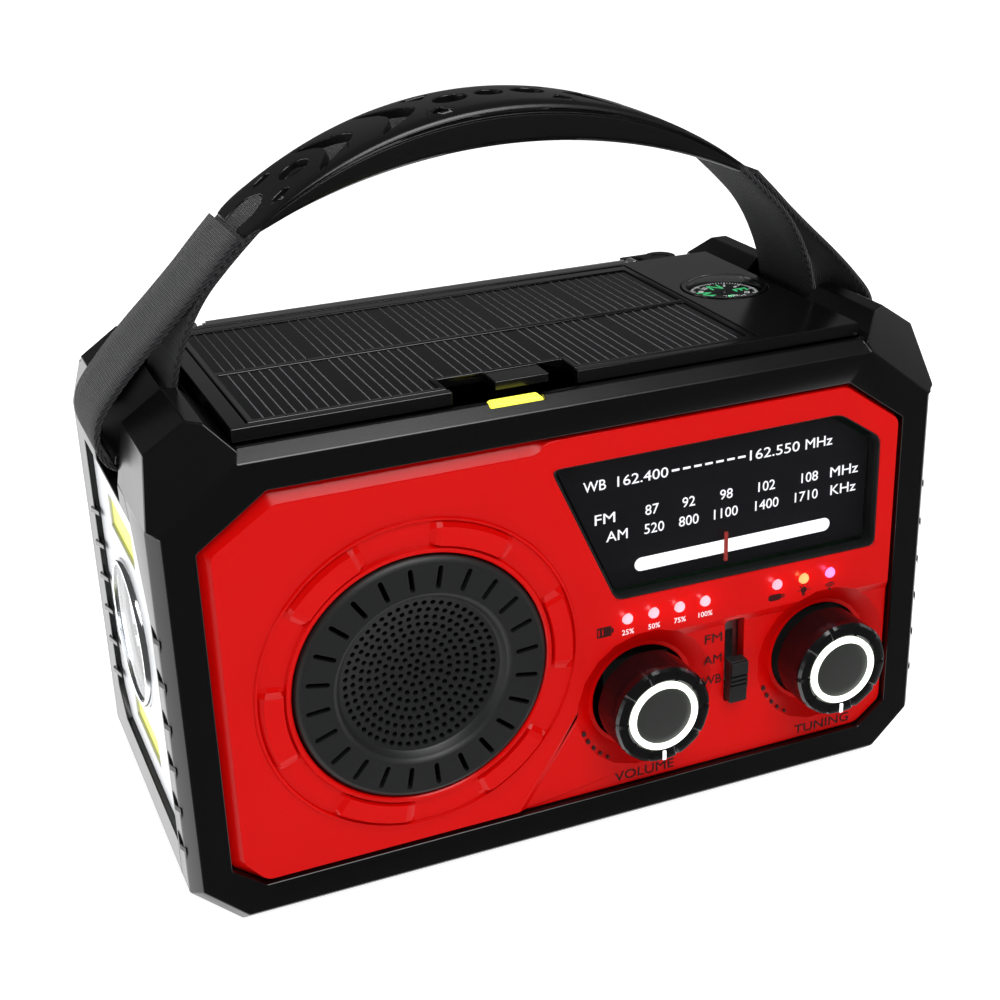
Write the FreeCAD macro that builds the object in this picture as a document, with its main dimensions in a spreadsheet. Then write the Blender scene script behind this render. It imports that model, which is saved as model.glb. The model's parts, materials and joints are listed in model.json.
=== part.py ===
import FreeCAD, Part
import math
import os
import re
import Sketcher

# Crank-and-solar emergency radio with a strap handle. Millimetres, +Z up, front face towards -Y.
# The origin is on the ground under the middle of the case, and left and right are seen from the front.

os.makedirs("parts", exist_ok=True)
doc = FreeCAD.newDocument("emergency_radio")
V = FreeCAD.Vector

SIZES = {
    # case
    "half_width": 92.6, "half_depth": 44.0, "foot_height": 1.0, "rim_top": 111.5, "deck_top": 109.6,
    "bevel_step": 2.6, "bevel_depth": 3.1, "wall": 3.0, "seam": 34.0, "lip_back": 38.0,
    "wall_run_high": 18.0, "wall_rise_high": 14.1, "wall_run_low": 10.9, "wall_rise_low": 10.3,
    "face_run_high": 16.15, "face_rise_high": 12.67, "face_run_low": 9.3, "face_rise_low": 8.81,
    "ear_end": 14.0, "ear_top": 116.9,
    # strap chamber and shoulder
    "slot_in": 73.4, "slot_out": 80.0, "chamber_low": 93.0, "chamber_high": 101.6, "chamber_half": 13.6,
    # top plate and solar module
    "plate_half": 73.0, "plate_front": 39.0, "plate_rear": 32.0, "plate_low": 111.6, "plate_top": 114.6,
    "solar_left": 69.0, "solar_right": 48.0, "solar_front": 36.5, "solar_rear": 29.5, "solar_low": 112.2,
    "notch_left": 26.0, "notch_right": 2.6, "notch_depth": 30.0,
    "hinge_rear": 28.4, "hinge_height": 113.2, "hinge_radius": 0.6, "running_fit": 0.05,
    "compass_across": 61.0, "compass_back": 1.0, "compass_radius": 10.5,
    # front
    "panel_front": 43.6, "panel_back": 39.6, "panel_half": 83.2, "panel_low": 10.4, "panel_top": 102.3,
    "speaker_across": 37.5, "speaker_height": 52.3, "speaker_radius": 29.3, "ring_radius": 37.0,
    "knob_radius": 12.2, "knob_front": 52.6, "volume_across": 17.1, "volume_height": 33.0,
    "tuning_across": 65.0, "tuning_height": 33.2, "spindle_radius": 3.0,
    "glow_outer": 8.5, "glow_inner": 7.2,
    "slider_across": 40.75, "slider_low": 26.9, "slider_high": 38.0, "slider_travel": 9.0,
    "led_height": 55.1, "led_radius": 1.3,
    # sides
    "side_face": 91.2, "side_back": 89.6, "side_low": 20.6, "side_high": 92.1, "side_rear": 29.0,
    "torch_height": 55.1, "torch_radius": 17.2,
    # crank and dynamo
    "dish_radius": 46.0, "dish_floor": 35.0, "crank_height": 56.0, "crank_length": 34.0,
    "shaft_radius": 3.0, "fold_pin_back": 40.2,
    "tooth_module": 1.0, "gear_front": 25.0, "gear_back": 28.0,
    # aerial
    "aerial_back": 36.5, "aerial_height": 112.0, "aerial_across": 62.0, "aerial_knuckle": 54.0,
    "aerial_radius": 2.0, "aerial_tip": 65.0,
    # handle
    "grip_top": 167.1, "grip_low": 157.6, "grip_half_width": 13.0, "grip_half_length": 60.0,
    "grip_top_radius": 94.5, "grip_low_radius": 141.4, "strap_half_width": 12.5,
}

sheet = doc.addObject("Spreadsheet::Sheet", "Sizes")
for row, (alias, number) in enumerate(SIZES.items(), start=1):
    sheet.set("A%d" % row, alias)
    sheet.set("B%d" % row, str(number))
    sheet.setAlias("B%d" % row, alias)
doc.recompute()

nodes = []


# ---- helpers: every size is a formula over the sheet's aliases ----

def formula(size):
    """Prefix each alias in a formula with the sheet's name."""
    return re.sub(r"[a-z]+(?:_[a-z]+)*",
                  lambda word: "Sizes." + word.group(0) if word.group(0) in SIZES else word.group(0),
                  str(size))


def bind(item, sizes):
    for prop, size in sizes.items():
        item.setExpression(prop, formula(size))
    return item


TURN = {"z": FreeCAD.Rotation(), "x": FreeCAD.Rotation(V(0, 1, 0), 90),
        "y": FreeCAD.Rotation(V(1, 0, 0), -90), "-y": FreeCAD.Rotation(V(1, 0, 0), 90),
        "-x": FreeCAD.Rotation(V(0, 1, 0), -90)}


def place(item, at, axis="z"):
    item.Placement = FreeCAD.Placement(V(), TURN[axis])
    return bind(item, {"Placement.Base." + letter: size for letter, size in zip("xyz", at)})


def block(low, high):
    """A box from its lowest to its highest corner."""
    item = doc.addObject("Part::Box", "Block")
    spans = ["(%s) - (%s)" % (top, bottom) for bottom, top in zip(low, high)]
    bind(item, dict(zip(("Length", "Width", "Height"), spans)))
    return place(item, low)


def rod(radius, length, at, axis="z"):
    """A cylinder that starts at a point and runs along an axis."""
    item = doc.addObject("Part::Cylinder", "Rod")
    bind(item, {"Radius": radius, "Height": length})
    return place(item, at, axis)


def cone(first, second, length, at, axis="z"):
    item = doc.addObject("Part::Cone", "Cone")
    bind(item, {"Radius1": first, "Radius2": second, "Height": length})
    return place(item, at, axis)


def fuse(*items):
    item = doc.addObject("Part::MultiFuse", "Joined")
    item.Shapes = list(items)
    item.Refine = True
    return item


def cut(base, *tools):
    item = doc.addObject("Part::Cut", "Trimmed")
    item.Base = base
    item.Tool = tools[0] if len(tools) == 1 else fuse(*tools)
    item.Refine = True
    return item


def common(*items):
    item = doc.addObject("Part::MultiCommon", "Shared")
    item.Shapes = list(items)
    item.Refine = True
    return item


def mirror(source, normal=V(1, 0, 0)):
    item = doc.addObject("Part::Mirroring", "Mirrored")
    item.Source = source
    item.Normal = normal
    return item


def group(*items):
    item = doc.addObject("Part::Compound", "Group")
    item.Links = list(items)
    return item


def origin_plane(body, role):
    return next(feature for feature in body.Origin.OriginFeatures if feature.Role == role)


def add_outline(sketch, points):
    """Closed outline of straight lines, each corner held at its two distances from the origin."""
    first = sketch.GeometryCount
    count = len(points)
    for index in range(count):
        ends = [V(index, 0, 0), V(index + 1, 1, 0)]
        sketch.addGeometry(Part.LineSegment(*ends), False)
    for index in range(count):
        follower = first + (index + 1) % count
        sketch.addConstraint(Sketcher.Constraint("Coincident", first + index, 2, follower, 1))
    for index, corner in enumerate(points):
        for kind, size in zip(("DistanceX", "DistanceY"), corner):
            number = sketch.addConstraint(Sketcher.Constraint(kind, -1, 1, first + index, 1, 1.0))
            sketch.setExpression("Constraints[%d]" % number, formula(size))


def prism(plane, low, high, outline, *holes):
    """Pad of an outline from one distance to another along the axis square to its plane."""
    body = doc.addObject("PartDesign::Body", "Body")
    sketch = body.newObject("Sketcher::SketchObject", "Outline")
    sketch.AttachmentSupport = [(origin_plane(body, plane + "_Plane"), "")]
    sketch.MapMode = "FlatFace"
    flips = plane == "XZ"
    sketch.setExpression("AttachmentOffset.Base.z", formula("-(%s)" % low if flips else low))
    for points in (outline,) + holes:
        add_outline(sketch, points)
    pad = body.newObject("PartDesign::Pad", "Pad")
    pad.Profile = sketch
    pad.Reversed = flips
    bind(pad, {"Length": "(%s) - (%s)" % (high, low)})
    body.Tip = pad
    return body


def turned(outline, at, axis="z"):
    """Revolved solid: outline points are (radius, distance along the axis)."""
    body = doc.addObject("PartDesign::Body", "Body")
    sketch = body.newObject("Sketcher::SketchObject", "Outline")
    sketch.AttachmentSupport = [(origin_plane(body, "XZ_Plane"), "")]
    sketch.MapMode = "FlatFace"
    add_outline(sketch, outline)
    turn = body.newObject("PartDesign::Revolution", "Turn")
    turn.Profile = sketch
    turn.ReferenceAxis = (sketch, ["V_Axis"])
    turn.Angle = 360
    body.Tip = turn
    return place(body, at, axis)


def loft(first, first_at, second, second_at):
    """Straight-sided solid between two outlines on planes square to Y."""
    sections = []
    for outline, distance in ((first, first_at), (second, second_at)):
        sketch = doc.addObject("Sketcher::SketchObject", "Section")
        sketch.Placement = FreeCAD.Placement(V(), FreeCAD.Rotation(V(1, 0, 0), 90))
        sketch.setExpression("Placement.Base.y", formula(distance))
        add_outline(sketch, outline)
        sections.append(sketch)
    item = doc.addObject("Part::Loft", "Loft")
    item.Sections = sections
    item.Solid = True
    item.Ruled = True
    return item


def half_space(normal, distance, reach=260.0):
    """A big block whose lower face lies on the plane normal . X = distance."""
    item = doc.addObject("Part::Box", "HalfSpace")
    for side in ("Length", "Width", "Height"):
        setattr(item, side, reach)
    turn = FreeCAD.Rotation(V(0, 0, 1), normal)
    item.Placement = FreeCAD.Placement(normal * distance + turn.multVec(V(-reach / 2, -reach / 2, 0)), turn)
    return item


def node(name, item):
    """Name a finished sub-part: the label names its file."""
    item.Label = name
    nodes.append(item)
    return item


def octagon(half, low, high, corner):
    """Case section: a rectangle with its four corners cut, as (across, height) points."""
    sizes = {"h": half, "l": low, "t": high, "c": corner}
    spots = ["%(h)s, %(l)s + %(c)s_rise_low", "%(h)s, %(t)s - %(c)s_rise_high",
             "%(h)s - %(c)s_run_high, %(t)s", "-(%(h)s) + %(c)s_run_high, %(t)s",
             "-(%(h)s), %(t)s - %(c)s_rise_high", "-(%(h)s), %(l)s + %(c)s_rise_low",
             "-(%(h)s) + %(c)s_run_low, %(l)s", "%(h)s - %(c)s_run_low, %(l)s"]
    return [tuple((spot % sizes).split(", ")) for spot in spots]


def mirrored_outline(points):
    """Complete an outline given for the right half, from its lowest point to its highest."""
    return points + [("-(%s)" % across, height) for across, height in reversed(points)]


WALLS = octagon("half_width", "foot_height", "rim_top", "wall")
FACE = octagon("half_width - bevel_step", "foot_height + bevel_step", "rim_top - bevel_step", "face")
CAVITY = octagon("half_width - wall", "foot_height + wall", "deck_top - wall", "face")
EAR = [("half_width - bevel_step", 96.1), ("half_width", 97.4), (90.2, 110.9), (81.3, "ear_top"),
       (78.0, 116.4), (72.8, 111.3), (73.85, 108.8)]
COLUMN_BOUNDS = octagon("half_width - wall - 0.2", "foot_height + wall + 0.2", "deck_top - wall - 0.2",
                        "face")
WING = [("-seam - 0.5", 73.6), (-28.0, 85.6), (-23.0, 94.6), (-21.3, 97.4), ("-seam - 0.5", 97.4)]
SIDE_OPENING = [("-seam", "side_low - 0.1"), (22.5, "side_low - 0.1"), ("side_rear + 0.1", 26.6),
                ("side_rear + 0.1", "side_high + 0.1"), ("-seam", "side_high + 0.1")]
SCREWS = [("66", "102.2"), ("-66", "102.2"), ("80", "9.8"), ("-80", "9.8")]
COLUMN_RADIUS = 4.6
SCREW_RADIUS = 1.5
FACET = V(0.370, 0.801, 0.471)
FACET_DISTANCE = 113.84


def facet_cutters(front):
    """The sloping corner planes in front of (or behind) the left and right ears."""
    sign = -1 if front else 1
    return [half_space(V(side * FACET.x, sign * FACET.y, FACET.z), FACET_DISTANCE) for side in (-1, 1)]


def ears(low, high):
    right = prism("XZ", low, high, EAR)
    return [right, mirror(right)]


def panel_outline(gap):
    """Red panel's outline, grown by a gap."""
    side = "panel_half + %s" % gap
    return mirrored_outline([("76.2 + %s / 2" % gap, "panel_low - %s" % gap), (side, "15.8"), (side, "91.6"),
                             ("68 + %s / 2" % gap, "panel_top + %s" % gap)])


# ---- case ----

def make_front_frame():
    shell = fuse(loft(FACE, "-half_depth", WALLS, "-half_depth + bevel_depth"),
                 prism("XZ", "-half_depth + bevel_depth", "-seam", WALLS))
    hollow = prism("XZ", "-lip_back", "-seam + 1", CAVITY)
    mouth = prism("XZ", "-half_depth - 1", "-lip_back + 1", panel_outline("0.15"))
    rebate = block(("-74.6", "-plate_front - 0.3", "deck_top"), ("74.6", "-seam + 1", "rim_top + 1"))
    lamp_pocket = block(("-18.8", "-half_depth + 2.2", "108.95"), ("-6.3", "-plate_front + 1", "rim_top + 1"))
    wing = prism("YZ", "side_back", "half_width", WING)
    columns = [rod(COLUMN_RADIUS, "lip_back + 20", (x, "-lip_back", z), "y") for x, z in SCREWS]
    threads = [rod(SCREW_RADIUS, "14", (x, "6.1", z), "y") for x, z in SCREWS]
    column_bounds = prism("XZ", "-lip_back - 1", "40", COLUMN_BOUNDS)
    frame = fuse(cut(shell, hollow, rebate), *ears("-half_depth", "-ear_end"), wing, mirror(wing),
                 common(fuse(*columns), column_bounds))
    return node("front_frame", cut(frame, mouth, lamp_pocket, *threads, *facet_cutters(True)))


def make_rear_housing():
    shell = fuse(prism("XZ", "-seam", "half_depth - bevel_depth", WALLS),
                 loft(WALLS, "half_depth - bevel_depth", FACE, "half_depth"))
    hollow = prism("XZ", "-seam - 1", "half_depth - wall", CAVITY)
    dish_boss = rod("dish_radius + wall", "half_depth - dish_floor + wall",
                    (0, "dish_floor - wall", "crank_height"), "y")
    boss_bounds = prism("XZ", "-seam", "half_depth", CAVITY)
    chamber_wall = block(("slot_in - 2", "-chamber_half - 2", "chamber_low - 2"),
                         ("half_width - 0.5", "chamber_half + 2", "deck_top - 1"))
    shoulder = prism("XZ", "-ear_end", "ear_end",
                     [("slot_out", "chamber_high"), ("half_width", "chamber_high"), (92.2, 103.4),
                      ("slot_out", "plate_top")])
    bosses = [rod(COLUMN_RADIUS, "half_depth - 20.2", (x, "20.1", z), "y") for x, z in SCREWS]
    solid = fuse(cut(shell, hollow), common(fuse(dish_boss, *bosses), boss_bounds),
                 *ears("ear_end", "half_depth"), shoulder, mirror(shoulder),
                 common(fuse(chamber_wall, mirror(chamber_wall)), prism("XZ", "-seam + 1", "seam", WALLS)))
    # everything that the other pieces need cleared
    deck = block(("-slot_in", "-seam - 1", "deck_top"), ("slot_in", "half_depth + 1", "ear_top + 1"))
    dish = rod("dish_radius", "half_depth", (0, "dish_floor", "crank_height"), "y")
    shaft_hole = rod("shaft_radius + running_fit", "wall * 2",
                     (0, "dish_floor - wall - 1", "crank_height"), "y")
    slot = block(("slot_in", "-chamber_half", "chamber_low"), ("slot_out", "chamber_half", "ear_top + 1"))
    window = block(("slot_out - 1", "-chamber_half", "chamber_low"),
                   ("half_width + 1", "chamber_half", "chamber_high"))
    opening = prism("YZ", "side_back", "half_width + 1", SIDE_OPENING)
    aerial_path = block(("-half_width - 1", "aerial_back - aerial_radius - 0.3", "deck_top"),
                        ("-slot_in + 1", "half_depth + 1", "ear_top + 1"))
    capsule_hole = rod("compass_radius + 0.2", "wall + 2",
                       ("compass_across", "compass_back", "deck_top - wall - 1"))
    hatch = block(("-32", "-7", "foot_height - 1"), ("32", "27", "foot_height + wall + 1"))
    holes = [rod(SCREW_RADIUS + 0.15, "half_depth", (x, "19", z), "y") for x, z in SCREWS]
    sinks = [rod("3.0", "5", (x, "half_depth - 2.6", z), "y") for x, z in SCREWS]
    wing = prism("YZ", "side_back - 0.01", "half_width + 1", WING)
    front_ears = ears("-seam - 1", "-ear_end")
    return node("rear_housing", cut(solid, deck, dish, shaft_hole, slot, mirror(slot), window, mirror(window),
                                    opening, mirror(opening), aerial_path, capsule_hole, hatch, wing,
                                    mirror(wing), *front_ears, *holes, *sinks, *facet_cutters(False)))


def make_fasteners():
    screws = []
    for across, height in SCREWS:
        head = rod("2.9", "1.8", (across, "half_depth - 2.6", height), "y")
        shank = rod(SCREW_RADIUS, "half_depth - 10.6", (across, "8", height), "y")
        screws.append(fuse(head, shank))
    node("case_screws", group(*screws))
    node("rubber_feet", group(*[rod("6.5", "foot_height", (x, y, 0)) for x in (-70, 70) for y in (-30, 30)]))
    door = block(("-31.8", "-6.8", "foot_height"), ("31.8", "26.8", "foot_height + 2.4"))
    node("battery_door", door)


# ---- top ----

def make_top_plate():
    plate = block(("-plate_half", "-plate_front", "plate_low"), ("plate_half", "plate_rear", "plate_top"))
    skirt = block(("-71.4", "-37.4", "deck_top"), ("71.4", "30.6", "plate_low"))
    skirt_hollow = block(("-70", "-36.9", "deck_top - 1"), ("70", "30.4", "plate_low"))
    opening = block(("-solar_left - 0.3", "-solar_front - 0.3", "plate_low - 1"),
                    ("solar_right + 0.3", "solar_rear + 0.8", "plate_top + 1"))
    notch = block(("-notch_left", "-plate_front - 1", "plate_low - 3"),
                  ("notch_right", "-notch_depth", "plate_top + 1"))
    capsule_hole = rod("compass_radius + 0.1", "8", ("compass_across", "compass_back", "plate_low - 3"))
    pin_hole = rod("hinge_radius", "solar_left + solar_right + 5",
                   ("-solar_left - 2.5", "hinge_rear", "hinge_height"), "x")
    node("top_plate", cut(fuse(plate, cut(skirt, skirt_hollow)), opening, notch, capsule_hole, pin_hole))


def make_solar_module():
    plate = block(("-solar_left", "-solar_front", "solar_low"), ("solar_right", "solar_rear", "plate_top"))
    notch = block(("-notch_left - 0.3", "-solar_front - 1", "solar_low - 1"),
                  ("notch_right + 0.3", "-notch_depth", "plate_top + 1"))
    tab = block(("-15.5", "-solar_front", "solar_low"), ("-3", "-notch_depth + 1", "plate_top - 0.3"))
    bore = rod("hinge_radius + running_fit", "solar_left + solar_right + 2",
               ("-solar_left - 1", "hinge_rear", "hinge_height"), "x")
    tray = [block((-67.3, y, "plate_top - 1"), (46.2, y + 29.6, "plate_top + 1")) for y in (-35.0, -3.4)]
    tray_notch = block(("-notch_left - 1.6", "-solar_front", "plate_top - 2"),
                       ("notch_right + 1.6", "-notch_depth + 1.2", "plate_top + 2"))
    node("solar_frame", cut(fuse(cut(plate, notch), tab), bore, cut(tray[0], tray_notch), tray[1]))
    cells = [block((-67.2, y + 0.1, "plate_top - 1"), (46.1, y + 29.5, "plate_top - 0.35"))
             for y in (-35.0, -3.4)]
    clearance = block(("-notch_left - 1.7", "-solar_front", "plate_top - 2"),
                      ("notch_right + 1.7", "-notch_depth + 1.3", "plate_top + 2"))
    node("solar_cells", group(cut(cells[0], clearance), cells[1]))
    node("solar_hinge_pin", rod("hinge_radius", "solar_left + solar_right + 5",
                                ("-solar_left - 2.5", "hinge_rear", "hinge_height"), "x"))


def make_compass():
    centre = ("compass_across", "compass_back", 0)
    shell = turned([(0, 107.4), ("compass_radius", 107.4), ("compass_radius", 114.8), (8.6, 115.7),
                    (5.0, 116.3), (0, 116.5)], centre)
    hollow = turned([(0, 110.4), (9.6, 110.4), (9.6, 114.3), (8.0, 115.0), (4.8, 115.5), (0, 115.7)], centre)
    pivot = rod("0.4", "3.4", ("compass_across", "compass_back", "110"))
    node("compass_capsule", fuse(cut(shell, hollow), pivot))
    card = rod("8.8", "0.9", ("compass_across", "compass_back", "112.2"))
    node("compass_card", cut(card, rod("0.45", "3", ("compass_across", "compass_back", "111.5"))))


def make_reading_lamp():
    bar = block(("-17.45", "-half_depth + 2.6", "108.95"), ("-7.65", "-plate_front + 0.6", "111.35"))
    ends = [rod("1.2", "half_depth - plate_front - 2", (x, "-half_depth + 2.6", "110.15"), "y")
            for x in ("-17.45", "-7.65")]
    node("reading_lamp", fuse(bar, *ends))


# ---- front ----

DISPLAY = [(-6.2, 94.9), (66.5, 95.1), (77.7, 87.6), (77.9, 59.8), (9.1, 60.4)]
DISPLAY_INNER = [(-3.9, 93.5), (66.2, 93.5), (76.3, 86.8), (76.3, 61.6), (10.2, 61.6)]
LOWER_FIELD = [(-19.5, 5.0), (-16.4, 10.8), (-0.7, 34.2), (3.5, 42.7), (8.5, 49.0), (11.2, 49.5),
               (90.0, 49.3), (90.0, 5.0)]
BATTERY_LEDS = (12.1, 18.9, 25.5, 32.1)
STATUS_LEDS = (51.3, 58.7, 65.8)
KNOBS = (("volume", "pot"), ("tuning", "capacitor"))


def make_front_panel():
    plate = prism("XZ", "-panel_front", "-panel_back", panel_outline("0"))
    ring = cone("ring_radius", "ring_radius - 4", "2.2",
                ("-speaker_across", "-panel_front", "speaker_height"), "-y")
    glass_seat = prism("XZ", "-panel_front - 1", "-panel_front + 1.5", DISPLAY)
    glass_hole = prism("XZ", "-panel_front + 1", "-panel_back + 1", DISPLAY_INNER)
    lower = prism("XZ", "-panel_front - 1", "-panel_front + 1.2", LOWER_FIELD)
    speaker_hole = rod("speaker_radius + 0.1", "10",
                       ("-speaker_across", "-panel_front - 4", "speaker_height"), "y")
    cups = []
    for side, _ in KNOBS:
        centre = [side + "_across", "-panel_front + 1.2", side + "_height"]
        cups.append(cone("knob_radius + 3.3", "knob_radius + 1", "1.6", centre, "y"))
        cups.append(rod("spindle_radius + 0.3", "10", [centre[0], "-panel_front - 2", centre[2]], "y"))
    slot = block(("slider_across - 2.55", "-panel_front - 1", "slider_low - 0.6"),
                 ("slider_across + 2.55", "-panel_back + 1", "slider_high + slider_travel + 1.1"))
    leds = [rod("led_radius", "10", (x, "-panel_front - 1", "led_height"), "y")
            for x in BATTERY_LEDS + STATUS_LEDS]
    node("front_panel", cut(fuse(plate, ring), lower, glass_seat, glass_hole, speaker_hole, slot, *cups,
                            *leds))


def make_display():
    glass = prism("XZ", "-panel_front - 0.3", "-panel_front + 1.5",
                  [(x + shift, z + rise) for (x, z), shift, rise in
                   zip(DISPLAY, (0.2, -0.1, -0.1, -0.1, 0.1), (-0.1, -0.1, -0.1, 0.1, 0.1))])
    node("display_window", glass)
    plate = prism("XZ", "-panel_back - 1", "-panel_back",
                  [(x + shift, z + rise) for (x, z), shift, rise in
                   zip(DISPLAY_INNER, (0.2, -0.1, -0.1, -0.1, 0.1), (-0.1, -0.1, -0.1, 0.1, 0.1))])
    bar = block((16.95, "-panel_back - 1.1", 64.95), (65.15, "-panel_back", 68.25))
    ends = [rod("1.65", "1.1", (x, "-panel_back - 1.1", 66.6), "y") for x in (16.95, 65.15)]
    node("dial_plate", cut(plate, bar, *ends))
    node("dial_backlight", fuse(bar, *ends))
    needle = block((38.1, "-panel_back - 1.9", 63.2), (38.9, "-panel_back - 1.4", 70.4))
    node("dial_needle", needle)
    for name, places in (("battery_leds", BATTERY_LEDS), ("status_leds", STATUS_LEDS)):
        node(name, group(*[rod("led_radius", "4.6", (x, "-panel_front - 0.3", "led_height"), "y")
                           for x in places]))


def make_speaker():
    centre = ("-speaker_across", 0, "speaker_height")
    grille = turned([(0, "panel_front - 6.2"), ("speaker_radius", "panel_front - 6.2"),
                     ("speaker_radius", "panel_front + 0.4"), (27.6, "panel_front + 1.2"),
                     (21.0, "panel_front + 1.2"), (18.0, "panel_front - 1.4"),
                     (0, "panel_front - 4.4")], centre, "-y")
    node("speaker_grille", grille)
    driver = turned([(0, 12.0), (13.0, 12.0), (13.0, 20.0), (18.0, 22.0), (26.5, 33.5), (28.8, 33.5),
                     (28.8, 37.3), (26.0, 37.3), (10.0, 28.0), (0, 28.0)], centre, "-y")
    node("speaker_driver", driver)


def make_knob(side, housing):
    """Knob with its light ring, its spindle and the control that the spindle turns."""
    across, height = side + "_across", side + "_height"
    skirt_back = "panel_front - 1.7"
    body = turned([("spindle_radius", skirt_back), ("knob_radius - 0.7", skirt_back),
                   ("knob_radius", "panel_front - 0.9"), ("knob_radius - 0.4", "knob_front - 1.6"),
                   ("knob_radius - 1.8", "knob_front - 0.3"), ("glow_outer", "knob_front - 0.3"),
                   ("glow_outer", "knob_front - 1.4"), ("glow_inner", "knob_front - 1.4"),
                   ("glow_inner", "knob_front - 0.9"), (0, "knob_front - 0.9"), (0, "knob_front - 3.2"),
                   ("spindle_radius", "knob_front - 3.2")], (across, 0, height), "-y")
    node(side + "_knob", body)
    ring = turned([("glow_inner", "knob_front - 1.4"), ("glow_outer", "knob_front - 1.4"),
                   ("glow_outer", "knob_front"), ("glow_inner", "knob_front")], (across, 0, height), "-y")
    node(side + "_light_ring", ring)
    node(side + "_spindle", rod("spindle_radius", "knob_front - 33.2", (across, "-30", height), "-y"))
    reach = 8.5 if side == "volume" else 10.5
    case = block(("%s - %s" % (across, reach), "-37.6", "%s - %s" % (height, reach)),
                 ("%s + %s" % (across, reach), "-26.9", "%s + %s" % (height, reach)))
    bore = rod("spindle_radius + running_fit", "8.2", (across, "-38", height), "y")
    node("%s_%s" % (side, housing), cut(case, bore))


def make_band_switch():
    stem = block(("slider_across - 1.2", "-panel_back", "slider_low + 3.5"),
                 ("slider_across + 1.2", "-36", "slider_high - 3.5"))
    button = block(("slider_across - 2.35", "-panel_front - 2", "slider_low"),
                   ("slider_across + 2.35", "-panel_back - 0.2", "slider_high"))
    neck = block(("slider_across - 1.2", "-panel_back - 0.3", "slider_low + 3.5"),
                 ("slider_across + 1.2", "-panel_back + 0.1", "slider_high - 3.5"))
    node("band_slider", fuse(button, neck, stem))
    case = block(("slider_across - 4.2", "-panel_back + 0.3", "slider_low - 1.5"),
                 ("slider_across + 4.2", "-31", "slider_high + slider_travel + 1.5"))
    track = block(("slider_across - 1.3", "-panel_back - 1", "slider_low + 3.2"),
                  ("slider_across + 1.3", "-35.6", "slider_high + slider_travel - 3.2"))
    node("band_switch", cut(case, track))


# ---- sides ----

SLOTS = ((76.6, 84.6), (26.6, 33.6))
SLOT_HALF = 13.5
BUTTONS = (("light_button", -12.0), ("alarm_button", 12.0))
BUTTON_HEIGHT = 76.0
BUTTON_RADIUS = 5.0


def side_plate():
    outline = [("-seam + 0.1", "side_low"), ("22.4", "side_low"), ("side_rear", "26.7"),
               ("side_rear", "side_high"), ("-24.3", "side_high"), ("-seam + 0.1", "73.8")]
    return prism("YZ", "side_back", "side_face", outline)


def make_left_side():
    plate = mirror(side_plate())
    torch_hole = rod("torch_radius", "6", ("-side_back + 2", 0, "torch_height"), "-x")
    slots = [block(("-side_face - 1", -SLOT_HALF, low), ("-side_back + 1", SLOT_HALF, high))
             for low, high in SLOTS]
    node("side_panel_left", cut(plate, torch_hole, *slots))
    node("flashlight_lens", turned([(0, "side_face - 1.2"), ("torch_radius - 0.1", "side_face - 1.2"),
                                    ("torch_radius - 0.1", "side_face + 0.3"), (12.0, "side_face + 0.9"),
                                    (0, "side_face + 1.1")], (0, 0, "torch_height"), "-x"))
    node("flashlight_reflector", turned([(3.2, 75.0), (5.0, 75.0), (12.0, 80.0), (16.8, 89.4),
                                         (15.8, 89.4), (11.0, 81.0), (4.6, 76.2), (3.2, 76.2)],
                                        (0, 0, "torch_height"), "-x"))
    node("side_light_lenses", group(*[
        block(("-side_back - 0.9", -SLOT_HALF + 0.05, low + 0.05),
              ("-side_back + 1.0", SLOT_HALF - 0.05, high - 0.05)) for low, high in SLOTS]))
    boards = [block(("-side_back + 1.1", -SLOT_HALF, low - 0.4), ("-side_back + 2.7", SLOT_HALF, high + 0.4))
              for low, high in SLOTS]
    torch = fuse(rod("9", "1.6", ("-74.9", 0, "torch_height"), "x"),
                 rod("2.4", "2.6", ("-74.9", 0, "torch_height"), "-x"))
    node("led_boards", group(*boards, torch))


def make_right_side():
    plate = side_plate()
    ports_window = block(("side_back - 1", -15, 30), ("side_face + 1", 15, 46))
    pivots = rod("0.5 + running_fit", "32", ("side_face - 0.8", -16, 31.5), "y")
    button_holes = [rod(BUTTON_RADIUS + 0.1, "6", ("side_back - 2", y, BUTTON_HEIGHT), "x")
                    for _, y in BUTTONS]
    node("side_panel_right", cut(plate, ports_window, pivots, *button_holes))
    for name, y in BUTTONS:
        cap = rod(BUTTON_RADIUS, "4.2", ("side_back - 1.6", y, BUTTON_HEIGHT), "x")
        flange = rod(BUTTON_RADIUS + 1, "1.2", ("side_back - 1.7", y, BUTTON_HEIGHT), "x")
        node(name, fuse(cap, flange))
    output = cut(block((74, -13, 33.4), (88.2, 1, 42.6)), block((76, -12.6, 34.9), (90, 0.6, 41.1)))
    tongue = block((76, -11, 36.2), (86, -1, 37.6))
    charge = cut(block((80, 3.4, 35.2), (88.2, 12.8, 40.4)), block((81, 4.2, 36), (90, 12, 39.6)))
    node("usb_ports", group(fuse(output, tongue), charge))
    cover = block(("side_face - 1.4", -14.7, 30.5), ("side_face", 14.7, 45.7))
    node("port_cover", fuse(cover, rod("0.5", "31.2", ("side_face - 0.8", -15.6, 31.5), "y")))


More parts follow.
